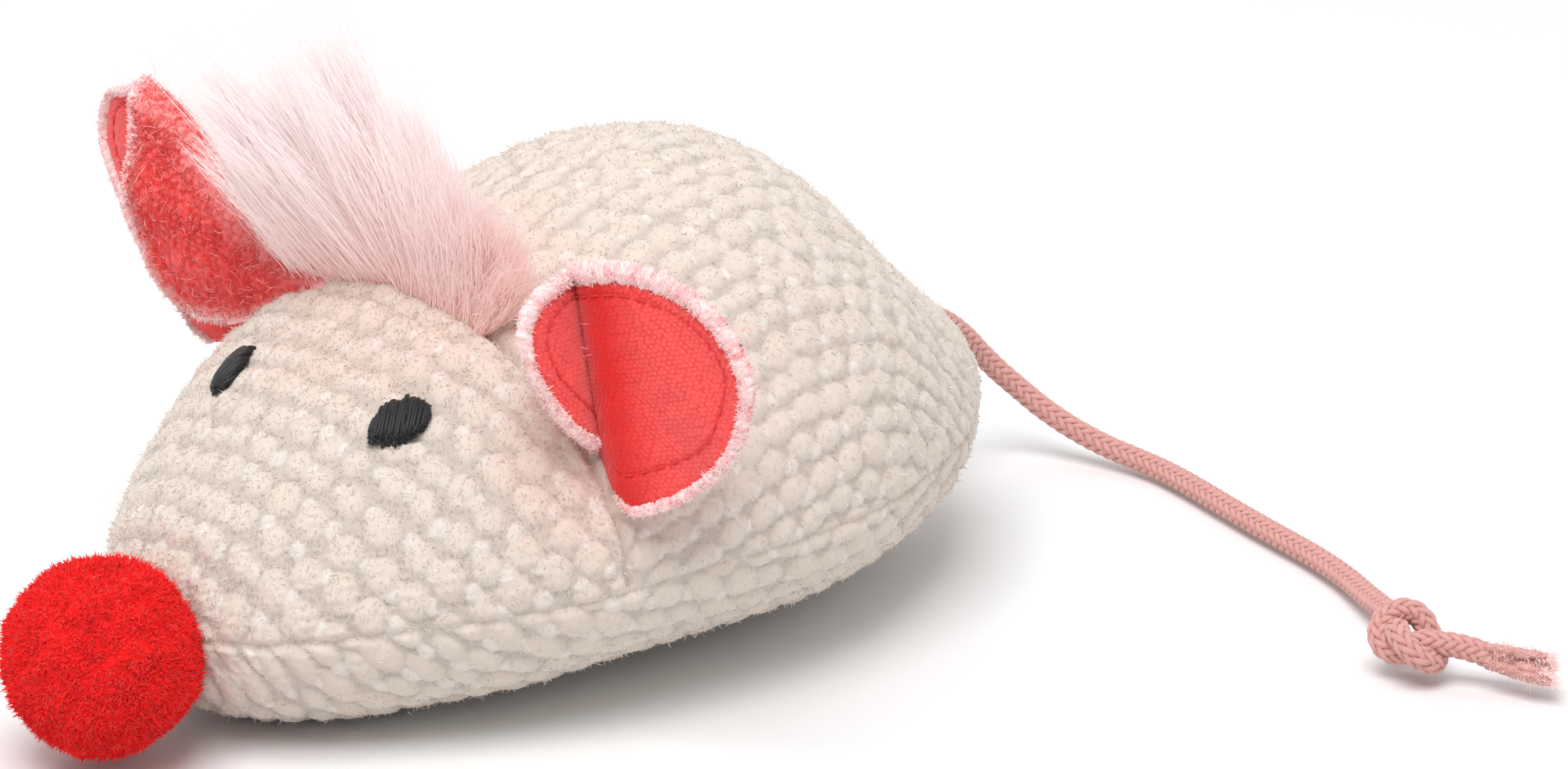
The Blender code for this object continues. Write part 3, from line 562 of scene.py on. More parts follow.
def tubes(lines, radii, sides=5):
    """Points and faces of tubes along many lines, shape (tube, point, 3). radii is for each point."""
    lines = np.asarray(lines, float)
    count, steps, _ = lines.shape
    along = unit(np.gradient(lines, axis=1))
    spare = np.where(np.abs(along[..., 2:3]) > 0.9, [1.0, 0, 0], [0, 0, 1.0])
    side = unit(np.cross(along, spare))
    up = np.cross(side, along)
    turn = np.arange(sides) * 2 * math.pi / sides
    circle = (side[:, :, None] * np.cos(turn)[:, None] + up[:, :, None] * np.sin(turn)[:, None])
    radii = np.broadcast_to(radii, (count, steps))[:, :, None, None]
    points = lines[:, :, None] + circle * radii
    base = grid_faces(steps, sides, wrap=True)
    faces = (base[None] + (np.arange(count) * steps * sides)[:, None, None]).reshape(-1, 4)
    return points.reshape(-1, 3), faces


# ================================================================ nose
POMPOM_CENTRE = np.array([-55.8, 0.0, 12.3])
POMPOM_RADIUS = 11.5
POMPOM_FIBRES = 46000
POMPOM_CLUMPS = 900         # fibres in a clump lie the same way
POMPOM_LUMPS = (3.6, 6.5, 11)


def sphere_directions(count):
    """Evenly spread directions."""
    k = np.arange(count) + 0.5
    height = 1 - 2 * k / count
    turn = k * math.pi * (3 - math.sqrt(5))
    ring = np.sqrt(1 - height ** 2)
    return np.stack([ring * np.cos(turn), ring * np.sin(turn), height], axis=1)


def make_pompom():
    """A ball of dense cut pile: a lumpy core under short matted fibres that lie every way."""
    source = np.random.default_rng(11)
    directions = unit(sphere_directions(POMPOM_FIBRES) + source.normal(size=(POMPOM_FIBRES, 3)) * 0.01)
    lumps = waves(directions * 10, POMPOM_LUMPS, 21)
    surface = POMPOM_RADIUS - 0.75 + 0.50 * lumps
    deep = source.random(POMPOM_FIBRES)
    root = POMPOM_CENTRE + directions * (surface - 0.55 * deep)[:, None]
    clumps = unit(source.normal(size=(POMPOM_CLUMPS, 3)))
    nearest = np.argmax(directions @ clumps.T, axis=1)
    lay = unit(source.normal(size=(POMPOM_CLUMPS, 3)))[nearest]
    aim = unit(directions * 0.75 + lay * 0.55 + source.normal(size=directions.shape) * 0.45)
    reach = source.uniform(0.45, 0.95, POMPOM_FIBRES)[:, None, None]
    bend = source.normal(size=(POMPOM_FIBRES, 1, 3)) * 0.25
    lines = fibre_lines(root, aim, bend, reach, (0.0, 0.55, 1.0))
    lines[..., 2] = np.maximum(lines[..., 2], 0.1)
    # Painted shade: each fibre is darker at its root and in the hollows between the lumps, lighter at its
    # tip and on the lumps.
    height = 0.25 + 0.45 * (lumps[:, None] * 0.3 + 0.5) + np.array([0.0, 0.15, 0.30])
    made = ribbons("nose_yarn", lines, (0.17, 0.15, 0.05), np.clip(height, 0, 1), red_yarn, "shell", 12)
    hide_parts("nose_pompom")
    rings, spokes = 110, 200
    polar_angle = np.linspace(0.01, math.pi - 0.01, rings)[:, None]
    turn = np.linspace(0, 2 * math.pi, spokes, endpoint=False)[None, :]
    shell = np.stack([np.sin(polar_angle) * np.cos(turn), np.sin(polar_angle) * np.sin(turn),
                      np.cos(polar_angle) + 0 * turn], axis=-1)
    relief = 0.50 * waves(shell * 10, POMPOM_LUMPS, 21) + 0.10 * waves(shell * 10, (0.7, 1.0), 22)
    core = POMPOM_CENTRE + shell * (POMPOM_RADIUS - 0.85 + relief)[..., None]
    core[..., 2] = np.maximum(core[..., 2], 0.3)
    # Painted shade: the core under the fibres takes their darker root tone.
    tone = tones(0.35 + 0 * relief, chance=hashed(np.arange(spokes) + 0 * relief))
    heart = new_piece("nose_core", core, grid_faces(rings, spokes, wrap=True), red_yarn, "shell", tone)


# ================================================================ eyes
LEFT_EYE = (-24.0, math.radians(61.5), 2.65)     # place along x, angle round the head, half-height
RIGHT_EYE = (-25.6, math.radians(62.5), 1.7)
EYE_HALF_LENGTH = 3.1
EYE_THREADS = 17
EYE_LAYERS = 3
EYE_STEPS = 15              # points along a thread
EYE_THREAD_RADIUS = 0.30
EYE_SLANT = math.radians(40)
HEAD_RADIUS = 29.0          # the head's size round the eyes, for angles from heights


def make_eye(name, node, side, where, seed):
    """Satin stitches laid side by side, each a thread arched over the knit."""
    middle, level, half_height = where
    source = np.random.default_rng(seed)
    lines = []
    radii = []
    for layer in range(EYE_LAYERS):
        for k in range(EYE_THREADS):
            offset = -1 + 2 * (k + 0.5 + source.uniform(-0.3, 0.3)) / EYE_THREADS
            lobes = 1 + 0.10 * math.sin(offset * 9 + seed) + 0.08 * math.sin(offset * 17 + seed)
            reach = math.sqrt(max(1 - offset ** 2, 0.10)) * lobes * source.uniform(0.80, 1.12)
            t = np.linspace(-1, 1, EYE_STEPS)
            a = t * reach
            b = offset + source.uniform(-0.03, 0.03) * t
            turn = EYE_SLANT + (layer - 1) * 0.16
            u = (a * math.cos(turn) - b * math.sin(turn)) * EYE_HALF_LENGTH
            w = (a * math.sin(turn) + b * math.cos(turn)) * half_height
            x = middle + u
            angle = level + w / HEAD_RADIUS
            arch = 0.95 * np.sqrt(np.clip(1 - t ** 2, 0, 1)) * math.sqrt(max(1 - offset ** 2, 0.1))
            points = skin_points(x, angle) + skin_normals(x, angle) * (0.25 + arch + layer * 0.12)[:, None]
            points[:, 1] *= side
            lines.append(points)
            radii.append(np.full(EYE_STEPS, EYE_THREAD_RADIUS) * np.where(np.abs(t) > 0.95, 0.6, 1.0))
    points, faces = tubes(np.array(lines), np.array(radii), 6)
    made = new_piece(name, points, faces, black_thread, "shell")
    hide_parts(node)


# ================================================================ ears
EAR_LAYER = 0.5             # each cloth lies this far from the ear's middle face
EAR_TEETH = 96              # pinked points round the cut edge of the lining
EAR_TWILL = (0.72, 0.50, 0.33, 0.27, 0, 0, 0.3)     # pitches, half-sizes, shifts and jitter
EAR_CLUMPS = (1.3, 1.1, 0.62, 0.55, 0, 0, 0.5)
STITCH_PITCH = 1.9
STITCH_LENGTH = 1.45

LEFT_EAR_ORIGIN = np.array([-9.0, -30.4, 33.2])
LEFT_EAR_OUT = unit(np.array([0.34, -0.90, 0.24]))
LEFT_EAR_UP = unit(np.array([0.06, 0.25, 0.97]))
LEFT_EAR_FRONT = unit(np.cross(LEFT_EAR_OUT, LEFT_EAR_UP))
LEFT_EAR_CENTRE = (5.0, 8.0)
# The cut outline on the cloth: along the outward direction, and up, from the foot of the crease.
LEFT_EAR_OUTLINE = (
    (1.8, -3.6), (4.2, -7.1), (6.4, -7.9), (12.7, -6.4), (19.4, -2.3), (22.7, 3.5), (23.1, 7.5),
    (20.9, 12.2), (16.7, 16.2), (11.4, 19.2), (6.6, 20.4), (0.3, 20.1), (-7.0, 18.8), (-10.4, 15.6),
    (-10.9, 11.6), (-9.6, 7.4), (-6.3, 2.4), (-1.0, -0.8),
)

RIGHT_EAR_ORIGIN = np.array([EAR_SEAM_X, 13.3, 42.3])
RIGHT_EAR_CREASE = unit(np.array([0, 0.865, 0.50]))
RIGHT_EAR_ACROSS = unit(np.array([0, 0.50, -0.865]))
RIGHT_EAR_CENTRE = (22.0, 2.0)
# Along the crease from its foot, and away from it: the rear half is positive, the front half negative.
RIGHT_EAR_OUTLINE = (
    (-1.0, 0.0), (3.5, 11.0), (12.0, 23.2), (15.6, 26.1), (19.8, 26.8), (30.0, 24.8), (37.8, 22.0),
    (41.4, 20.3), (43.8, 18.2), (44.8, 15.2), (44.3, 11.6), (42.4, 6.6), (40.0, 2.2),
    (37.8, -0.9), (36.4, -2.9), (34.6, -4.7),
    (32.9, -6.6), (31.2, -9.0), (29.8, -11.4), (28.0, -14.9), (25.6, -18.2), (21.8, -20.9), (16.6, -21.8),
    (9.6, -16.8), (3.0, -8.0),
)


def outline_radius(outline, centre):
    """The distance from a centre to a closed outline, for any direction."""
    ring = np.array(outline)
    closed = catmull_rom(np.vstack([ring[-2:], ring, ring[:2]]), 24)
    relative = closed[24 * 2:-24 - 1] - np.array(centre)
    angle = np.mod(np.arctan2(relative[:, 1], relative[:, 0]), 2 * math.pi)
    order = np.argsort(angle)
    radius = np.linalg.norm(relative, axis=1)[order]
    angle = angle[order]
    return lambda turn: np.interp(np.mod(turn, 2 * math.pi), angle, radius, period=2 * math.pi)


FOLD_START, FOLD_END = -18, 34      # places across the cloth that the tables reach
FOLD_STEP = 0.1
FOLD_LOW, FOLD_HIGH = -12, 30       # heights on the cloth
FOLD_ROWS = 22


def fold_tables():
    """Sideways and forward places along the left ear's cloth, one row for each height on it."""
    fine = np.linspace(FOLD_START, FOLD_END, 521)
    sideways, forward = [], []
    for height in np.linspace(FOLD_LOW, FOLD_HIGH, FOLD_ROWS):
        soft = 0.5 + 0.03 * max(height, 0)
        fold = math.radians(104) - math.radians(40) * smoothstep(0.5, 9, -fine)
        swell = -math.radians(48) * (1 - smoothstep(0.5, 7, fine))
        swell = swell - math.radians(14) * smoothstep(9, 24, fine)
        heading = swell + (fold - swell) * (1 - smoothstep(-soft, soft, fine))
        sideways.append(np.cumsum(np.cos(heading)) * FOLD_STEP)
        forward.append(np.cumsum(-np.sin(heading)) * FOLD_STEP)
    crease = 180                        # the column at place 0
    return tuple(table - table[:, crease:crease + 1] for table in (np.array(sideways), np.array(forward)))


SIDEWAYS, FORWARD = fold_tables()


def left_ear_surface(p, q):
    """The near ear: its upper side is folded forward along an upright crease, and the rest is cupped."""
    row = np.clip((q - FOLD_LOW) / 2, 0, FOLD_ROWS - 1.001)
    low = row.astype(int)
    share = row - low
    column = np.clip((p - FOLD_START) / FOLD_STEP, 0, 519.999)
    left = column.astype(int)
    part = column - left
    places = []
    for table in (SIDEWAYS, FORWARD):
        lower = table[low, left] * (1 - part) + table[low, left + 1] * part
        upper = table[low + 1, left] * (1 - part) + table[low + 1, left + 1] * part
        places.append(lower * (1 - share) + upper * share)
    ripple = 0.35 * np.sin(p * 0.45 + q * 0.3) * smoothstep(3, 14, np.abs(p))
    forward = places[1] + 0.05 * q + ripple
    return (LEFT_EAR_ORIGIN + places[0][..., None] * LEFT_EAR_OUT + q[..., None] * LEFT_EAR_UP
            + forward[..., None] * LEFT_EAR_FRONT)


def right_ear_surface(c, w):
    """The far ear: folded along its length, the front half lying over the rear half."""
    bend = 1.3
    away = np.abs(w)
    turned = np.minimum(away / bend, math.pi / 2)
    across = bend * (1 - np.cos(turned)) + np.maximum(away - bend * math.pi / 2, 0)
    front = bend * np.sin(turned)
    opening = 2.6 * smoothstep(10, 36, c) * smoothstep(2, 12, away)
    opening = opening + 1.8 * np.sin(np.clip(away / 22, 0, 1) * math.pi)
    front = np.where(w < 0, front + opening, -front - 0.3 * opening)
    bow = -3.2 * smoothstep(2, 12, c) + 1.2 * smoothstep(18, 30, c) - 0.22 * np.maximum(c - 29, 0)
    across = across - bow * (1 - smoothstep(2, 14, away))
    front = front + 0.35 * np.sin(c * 0.4 + w * 0.35) * smoothstep(4, 12, away)
    return (RIGHT_EAR_ORIGIN + c[..., None] * RIGHT_EAR_CREASE + across[..., None] * RIGHT_EAR_ACROSS
            + front[..., None] * np.array([-1.0, 0, 0]))


def face_normals(surface, first, second, step=0.05):
    a = surface(first + step, second) - surface(first - step, second)
    b = surface(first, second + step) - surface(first, second - step)
    return unit(np.cross(a, b))


class Ear:
    """One ear: a surface, a cut outline on it, and the body that it flops with."""

    def __init__(self, side, surface, outline, centre, rim, seed, tilt, border, flat):
        self.side = side
        self.surface = surface
        self.centre = centre
        self.radius = outline_radius(outline, centre)
        self.rim = tuple(math.radians(value) for value in rim)
        self.body = side + "_ear"
        self.seed = seed
        self.tilt = math.radians(tilt)      # where on the outline the border starts to widen
        self.border = border                # the pale border's width
        self.flat = flat                    # the cloth as cut, metres

    def place(self, turn, edge):
        return self.centre[0] + edge * np.cos(turn), self.centre[1] + edge * np.sin(turn)

    def free(self, turn):
        """1 round the free outline and 0 at the sewn side."""
        turn = np.mod(turn - self.rim[0], 2 * math.pi)
        return smoothstep(0, 0.12, turn) * (1 - smoothstep(-0.12, 0, turn - (self.rim[1] - self.rim[0])))

    def inset(self, turn):
        """How far the lining stops short of the cut edge: most at the top and the outer side."""
        wide = 0.4 + 0.6 * smoothstep(-0.2, 0.5, np.sin(turn - self.tilt))
        return (self.border * wide) * self.free(turn)

    def grid(self, rings, turn, edge):
        """The rings' shares of the way to an edge, and their places, points and normals."""
        share = np.linspace(0.004, 1, rings)[:, None]
        first, second = self.place(turn, share * edge)
        return share, first, second, self.surface(first, second), face_normals(self.surface, first, second)

    def flat_area(self):
        turn = np.linspace(0, 2 * math.pi, 720, endpoint=False)
        return float(np.mean(self.radius(turn) ** 2) * math.pi * MM ** 2)

    def cloth(self, node):
        """The coral lining, with its twill as relief and a pinked edge."""
        rings, spokes = 100, 440
        turn = np.linspace(0, 2 * math.pi, spokes, endpoint=False)
        teeth = 0.22 * (np.abs(np.mod(turn * EAR_TEETH / math.pi, 2) - 1) * 2 - 1) * self.free(turn)
        teeth = teeth * (0.6 + 0.8 * hashed(np.floor(turn * EAR_TEETH / 2 / math.pi)))
        edge = self.radius(turn) - self.inset(turn) - teeth
        share, first, second, points, normals = self.grid(rings, turn, edge)
        nubs, chance = blobs(first + 0.25 * second, second, *EAR_TWILL, self.seed)
        from_edge = (edge + self.inset(turn)) - share * edge
        groove = np.exp(-((from_edge - self.stitch_inset(turn)) / 0.35) ** 2) * self.free(turn)
        rounded = 0.35 * (1 - smoothstep(0, 0.7, edge * (1 - share)))
        relief = 0.07 * nubs - 0.12 * groove - rounded + 0.12 * waves(points, (3, 6), self.seed)
        points = points + normals * (EAR_LAYER + relief)[..., None]
        fray = (1 - smoothstep(0, 0.5, edge * (1 - share))) * self.free(turn)
        # Painted shade: the lining is darker in the gaps between the nubs, in the stitch groove and in the
        # left ear's fold.
        wear_and_crease_shade = 1 - 0.95 * self.crease(first)
        tone = tones((0.38 + 0.62 * nubs) * (1 - 0.3 * groove) * wear_and_crease_shade, fray * 0.8, 0, chance * wear_and_crease_shade)
        made = new_piece(self.body + "_cloth", points, grid_faces(rings, spokes, wrap=True), coral_cloth,
                         self.body, tone)
        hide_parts(node)
        self.lining = made

    def crease(self, first):
        """Painted shade: the cloth is coloured a deeper red where the left ear's cloth is folded."""
        if self.side == "right":
            return 0 * first
        return smoothstep(-0.3, 0.5, first) * np.exp(-(np.maximum(first - 4.2, 0) / 4.4) ** 2)

    def stitch_inset(self, turn):
        return 3.5 + 1.2 * smoothstep(0.2, 0.9, -np.sin(turn - self.tilt))

    def stitches(self):
        """The line of machine stitches that holds the two cloths together."""
        turn = np.linspace(self.rim[0] + 0.05, self.rim[1] - 0.05, 600)
        first, second = self.place(turn, self.radius(turn) - self.stitch_inset(turn))
        line = self.surface(first, second) + face_normals(self.surface, first, second) * (EAR_LAYER + 0.06)
        lengths = arc_lengths(line)
        count = int(lengths[-1] / STITCH_PITCH)
        starts = (np.arange(count) + 0.1) * lengths[-1] / count
        lines = []
        for start in starts:
            at = start + np.linspace(0, STITCH_LENGTH, 6)
            lines.append(np.stack([np.interp(at, lengths, line[:, k]) for k in range(3)], axis=1))
        points, faces = tubes(lines, (0.04, 0.09, 0.11, 0.11, 0.09, 0.04), 6)
        made = new_piece(self.body + "_stitches", points, faces, deep_thread, self.body)
        self.flat_area()

    def pile(self, node):
        """The fleece back."""
        rings, spokes = 60, 300
        turn = np.linspace(0, 2 * math.pi, spokes, endpoint=False)
        edge = self.radius(turn) - 0.5 * self.free(turn)
        share, first, second, points, normals = self.grid(rings, turn, edge)
        clumps, chance = blobs(first, second + 0.3 * first, *EAR_CLUMPS, self.seed + 4)
        relief = 0.35 * clumps + 0.25 * waves(points, (2, 4), self.seed + 1)
        points = points - normals * (EAR_LAYER + relief)[..., None]
        border = 0.9 * (1 - smoothstep(0.4, 2.4, edge * (1 - share)))
        depth = 0 * first
        if self.side == "right":
            border = np.maximum(border, 0.4 * np.exp(-((second + 1) / 3.0) ** 2))
            depth = 1 - smoothstep(2, 26, first)
        # Painted shade: the fleece is darker between the clumps and, on the far ear, toward the foot of its
        # fold.
        tone = tones((0.25 + 0.6 * clumps) * (1 - 0.6 * depth), border, 0, chance * (1 - 0.4 * depth))
        faces = grid_faces(rings, spokes, wrap=True)[:, ::-1]
        made = new_piece(self.body + "_pile", points, faces, coral_pile, self.body, tone)
        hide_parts(node)
        self.back = made

    def edge(self, count, depth):
        """The raw edge of the fleece: a lumpy roll with loose fibres."""
        source = np.random.default_rng(self.seed + 2)
        rows, sides = 520, 14
        turn = np.linspace(*self.rim, rows)
        outline = self.radius(turn)
        wide = depth * (0.55 + 0.45 * smoothstep(-0.2, 0.5, np.sin(turn - self.tilt)))
        middle = self.surface(*self.place(turn, outline - wide * 0.45))
        beyond = self.surface(*self.place(turn, outline + 0.3))
        out = unit(beyond - middle)
        along = unit(np.gradient(middle, axis=0))
        face = unit(np.cross(along, out))
        around = np.linspace(0, 2 * math.pi, sides, endpoint=False)
        ends = np.minimum(np.arange(rows), np.arange(rows)[::-1])
        size = (0.3 + 0.7 * smoothstep(0, 16, ends)) * (1 + 0.25 * waves(middle, (1.0, 2.2), self.seed + 3))
        size = size[:, None] * (1 + 0.08 * source.normal(size=(rows, sides)))
        points = (middle[:, None] + out[:, None] * (np.cos(around) * wide[:, None] * 0.5 * size)[..., None]
                  + face[:, None] * (np.sin(around) * 0.85 * size)[..., None])
        tone = tones(0.4 + 0.6 * source.random((rows, sides)), 1, 0, source.random((rows, sides)))
        roll = new_piece(self.body + "_edge", points, grid_faces(rows, sides, wrap=True), pale_pile,
                         self.body, tone)
        pick = source.integers(4, rows - 4, count)
        angle = source.uniform(0, 2 * math.pi, count)
        across = np.cos(angle)[:, None]
        through = np.sin(angle)[:, None]
        root = middle[pick] + out[pick] * across * wide[pick, None] * 0.4 + face[pick] * through * 0.75
        aim = out[pick] * (across * 0.8 + 0.1) + face[pick] * through
        aim = unit(aim + source.normal(size=(count, 3)) * 0.8)
        bend = source.normal(size=(count, 3)) * 0.25
        length = source.uniform(0.25, 0.62, count)[:, None, None]
        lines = fibre_lines(root, aim, bend[:, None], length, np.linspace(0, 1, 4))
        fringe = ribbons(self.body + "_fringe", lines, (0.12, 0.11, 0.09, 0.03), (0.3, 0.6, 0.8, 1.0),
                         pale_pile, self.body, self.seed + 5)
        self.flat_area()

    def fuzz(self, count, length):
        """Loose fibres over the fleece back."""
        source = np.random.default_rng(self.seed + 6)
        turn = source.uniform(0, 2 * math.pi, count)
        first, second = self.place(turn, self.radius(turn) * np.sqrt(source.random(count)) * 0.96)
        normals = -face_normals(self.surface, first, second)
        root = self.surface(first, second) + normals * (EAR_LAYER + 0.2)
        aim = unit(normals * 0.45 + source.normal(size=(count, 3)) * 0.7)
        long = source.random(count) > 0.985
        reach = (source.uniform(0.4, 1.0, count) * length * np.where(long, 3.0, 1.0))[:, None, None]
        bend = source.normal(size=(count, 1, 3)) * 0.35
        lines = fibre_lines(root, aim, bend, reach, np.linspace(0, 1, 5))
        lift = np.where(long, 0.5, 0.0)[:, None] * np.sin(np.linspace(0, math.pi, 5))
        lines = lines + normals[:, None] * lift[..., None]
        pale = np.where(long | (source.random(count) > 0.9), 0.8, 0.0)[:, None] * np.ones(5)
        # Painted shade: each loose fibre is darker at its root.
        made = ribbons(self.body + "_fuzz", lines, (0.09, 0.09, 0.08, 0.06, 0.03),
                       (0.2, 0.40, 0.5, 0.6, 0.75), coral_pile, self.body, self.seed + 7, white=pale)


def make_ears():
    left = Ear("left", left_ear_surface, LEFT_EAR_OUTLINE, LEFT_EAR_CENTRE, (-99, 238), 31,
               -20, 2.2, (0.0345, 0.0285))
    right = Ear("right", right_ear_surface, RIGHT_EAR_OUTLINE, RIGHT_EAR_CENTRE, (-124, 112), 37,
                -90, 1.3, (0.049, 0.0353))
    left.cloth("left_ear_lining")
    right.cloth("right_ear_lining")
    left.pile("left_ear_back")
    right.pile("right_ear_back")
    for ear in (left, right):
        ear.stitches()
        ear.edge(9000, ear.border + 0.2)
    left.fuzz(9000, 0.9)
    right.fuzz(15000, 0.9)


# ================================================================ hair
HAIR_LOCKS = 180
HAIR_PER_LOCK = 110
# Along the seam from the near ear (0) to the far ear (1): lock length, lean toward +Y, lean toward -X.
HAIR_SHAPE = (
    (0.00, 10.0, -0.60, -0.10), (0.08, 11.5, -0.45, -0.04), (0.17, 14.5, -0.25, 0.04),
    (0.27, 19.0, -0.05, 0.10), (0.37, 26.0, 0.14, 0.12), (0.46, 33.0, 0.28, 0.20),
    (0.55, 39.0, 0.36, 0.26), (0.63, 28.0, 0.46, 0.30), (0.74, 29.5, 0.52, 0.32),
    (0.86, 35.0, 0.46, 0.30), (0.93, 29.0, 0.52, 0.36), (1.00, 20.0, 0.42, 0.42),
)
HAIR_ANGLES = (112, 60)     # degrees round the body where the seam's hair starts and ends


def make_hair():
    """A tuft of long pile sewn into the seam between the ears, gathered in pointed locks."""
    source = np.random.default_rng(61)
    shape = np.array(HAIR_SHAPE)
    share = source.random(HAIR_LOCKS)
    length, lean_y, lean_x = (np.interp(share, shape[:, 0], shape[:, k]) for k in (1, 2, 3))
    length = length * (1 - 0.45 * source.random(HAIR_LOCKS) ** 1.4)
    depth = source.uniform(-1, 1, HAIR_LOCKS)
    aim = np.stack([-lean_x + 0.16 * depth, lean_y, np.ones(HAIR_LOCKS)], axis=1)
    aim = unit(aim + source.normal(size=(HAIR_LOCKS, 3)) * [0.06, 0.06, 0.05])

    which = np.repeat(np.arange(HAIR_LOCKS), HAIR_PER_LOCK)
    total = len(which)
    own_share = np.clip(share[which] + source.normal(size=total) * 0.045, 0, 1)
    angle = np.radians(np.interp(own_share, [0, 1], HAIR_ANGLES))
    root_x = EAR_SEAM_X + 0.8 + depth[which] * 1.3 + source.normal(size=total) * 0.5
    start = skin_points(root_x, angle) - skin_normals(root_x, angle) * 0.6
    middle_angle = np.radians(np.interp(share, [0, 1], HAIR_ANGLES))
    middle = skin_points(EAR_SEAM_X + 0.8 + depth * 1.3, middle_angle)
    tip = middle + aim * length[:, None]
    ends = source.normal(size=(total, 3)) * [0.8, 0.9, 0.7] + (start - middle[which]) * 0.4
    shorter = 1 - 0.38 * source.random(total) ** 1.5
    finish = start + (tip[which] + ends - start) * shorter[:, None]
    bend = source.normal(size=(total, 3)) * 1.3 + np.array([0.5, -1.5, 0.5])
    t = np.linspace(0, 1, 6)[None, :, None]
    arch = (t * (1 - t)) * 3.0 * np.minimum(length[which] / 26, 1.2)[:, None, None]
    lines = start[:, None] * (1 - t) + finish[:, None] * t + bend[:, None] * arch
    kink = source.normal(size=(total, 1, 3)) * 0.6
    lines = lines + kink * np.sin(t * 8 + source.uniform(0, 6, (total, 1, 1))) * t
    width = (0.12, 0.12, 0.11, 0.095, 0.075, 0.02)
    height = np.linspace(0, 1, 6) ** 0.7
    height = height * (0.45 + 0.55 * smoothstep(10, 28, length[which]))[:, None]
    pink = (1 - smoothstep(0.0, 0.24, own_share))[:, None] * np.ones(6)
    made = ribbons("hair_fur", lines, width, height, pale_fur, "shell", 62, pink=pink)
    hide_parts("hair_tuft")


# ================================================================ tail
CORD_RADIUS = 1.5
TAIL_EXIT = (67.0, 0.0, 22.0)
LEAD_START = (27.2, 0.0, 22.0)
TAIL_ROUTE = (
    TAIL_EXIT, (72, 0, 21.3), (76, 0, 19.4), (79.6, 0, 16.6), (82.4, -0.3, 13.6), (84.6, -1.3, 11),
    (86.5, -3.2, 8.6), (88, -6, 6.3), (89.5, -9.8, 4.2), (91, -14, 2.6), (91.9, -18.5, 1.8),
    (91.7, -23.2, 1.6), (90.4, -29, 1.6), (88.5, -35.8, 1.6), (86.6, -42.6, 1.6), (85, -49, 1.6),
    (83.3, -55.6, 1.6), (80.8, -62.4, 1.7), (77, -69.4, 2.2), (73.6, -75.2, 3.0),
)
KNOT_ENTRY = (71.6, -78.2, 3.6)
KNOT_LEAVE = (69.6, -90.0, 4.2)
KNOT_CORD = 36.0
KNOT_SHIFT = (1.6, -1.4, 0.6)
KNOT_SPACING = 2.6          # strands closer than this push each other apart
KNOT_ROUNDS = 1300
TAIL_END = ((70.2, -91.4, 3.9), (70.9, -93.4, 3.4))
BRAID_CARRIERS = 8          # strands wound each way
BRAID_PITCH = 11.0
BRAID_MIDDLE = 1.06         # the strands' middle lines run at this radius
BRAID_WAVE = 0.16           # and pass over and under by this much
STRAND_HALF_WIDTH = 0.40
STRAND_HALF_DEPTH = 0.29
TAIL_STEP = 0.33
FRAY_END = (73.4, -100.6, 2.9)
FRAY_STRANDS = 14
FRAY_RADII = (0.36, 0.42, 0.48, 0.52, 0.56, 0.58, 0.60, 0.60, 0.58, 0.56, 0.52, 0.44, 0.32, 0.08)
FLUFF_FIBRES = 5200
RING_RADIUS = 3.0           # the gathered knit round the cord's opening
RING_THICKNESS = 1.05
RING_STITCHES = 11


def tied_knot(entry, leave, length):
    """The middle line of an overhand knot drawn tight between two places.

    A loose three-lobed loop is shortened step by step while its strands push each other apart.
    """
    count = 150
    t = np.linspace(math.pi + 0.55, 3 * math.pi - 0.55, count - 30)
    loop = [np.sin(t) + 2 * np.sin(2 * t), np.cos(t) - 2 * np.cos(2 * t), -np.sin(3 * t)]
    loop = np.stack(loop, axis=1) * 3.0
    half = np.linalg.norm(np.subtract(leave, entry)) / 2
    lead = np.linspace(0, 1, 15, endpoint=False)[:, None]
    start = np.array([half, -9.0, 0.0]) * (1 - lead) + loop[0] * lead
    end = loop[-1] * lead[::-1] + np.array([-half, -9.0, 0.0]) * (1 - lead[::-1])
    line = np.vstack([start, loop, end])
    line[:, 1] -= line[0, 1]
    apart = np.abs(np.subtract.outer(np.arange(count), np.arange(count)))
    rest = arc_lengths(line)[-1] / (count - 1)
    final = length / (count - 1)
    for _ in range(KNOT_ROUNDS):
        rest = max(rest * 0.997, final)
        for _ in range(3):
            for first in (0, 1):
                gap = line[first + 1::2] - line[first:-1:2]
                size = np.linalg.norm(gap, axis=1, keepdims=True)
                push = gap * (1 - rest / size) / 2
                line[first:-1:2] += push
                line[first + 1::2] -= push
        gap = line[:, None] - line[None]
        size = np.linalg.norm(gap, axis=2) + 1e-9
        close = (size < KNOT_SPACING) & (apart * rest > KNOT_SPACING * 1.45)
        line += (np.where(close, (KNOT_SPACING - size) / size * 0.25, 0)[..., None] * gap).sum(axis=1)
        line[1:-1] += ((line[:-2] + line[2:]) / 2 - line[1:-1]) * 0.3
        line[0] = (half, 0, 0)
        line[-1] = (-half, 0, 0)
    axis = unit(np.subtract(leave, entry))
    side = unit(np.cross(axis, [0, 0, 1.0]))
    up = np.cross(side, axis)
    middle = (np.array(entry) + np.array(leave)) / 2
    knot = middle - line[:, :1] * axis + line[:, 1:2] * side - line[:, 2:] * up
    within = np.sin(np.linspace(0, math.pi, count))[:, None] ** 0.7
    return knot + np.array(KNOT_SHIFT) * within


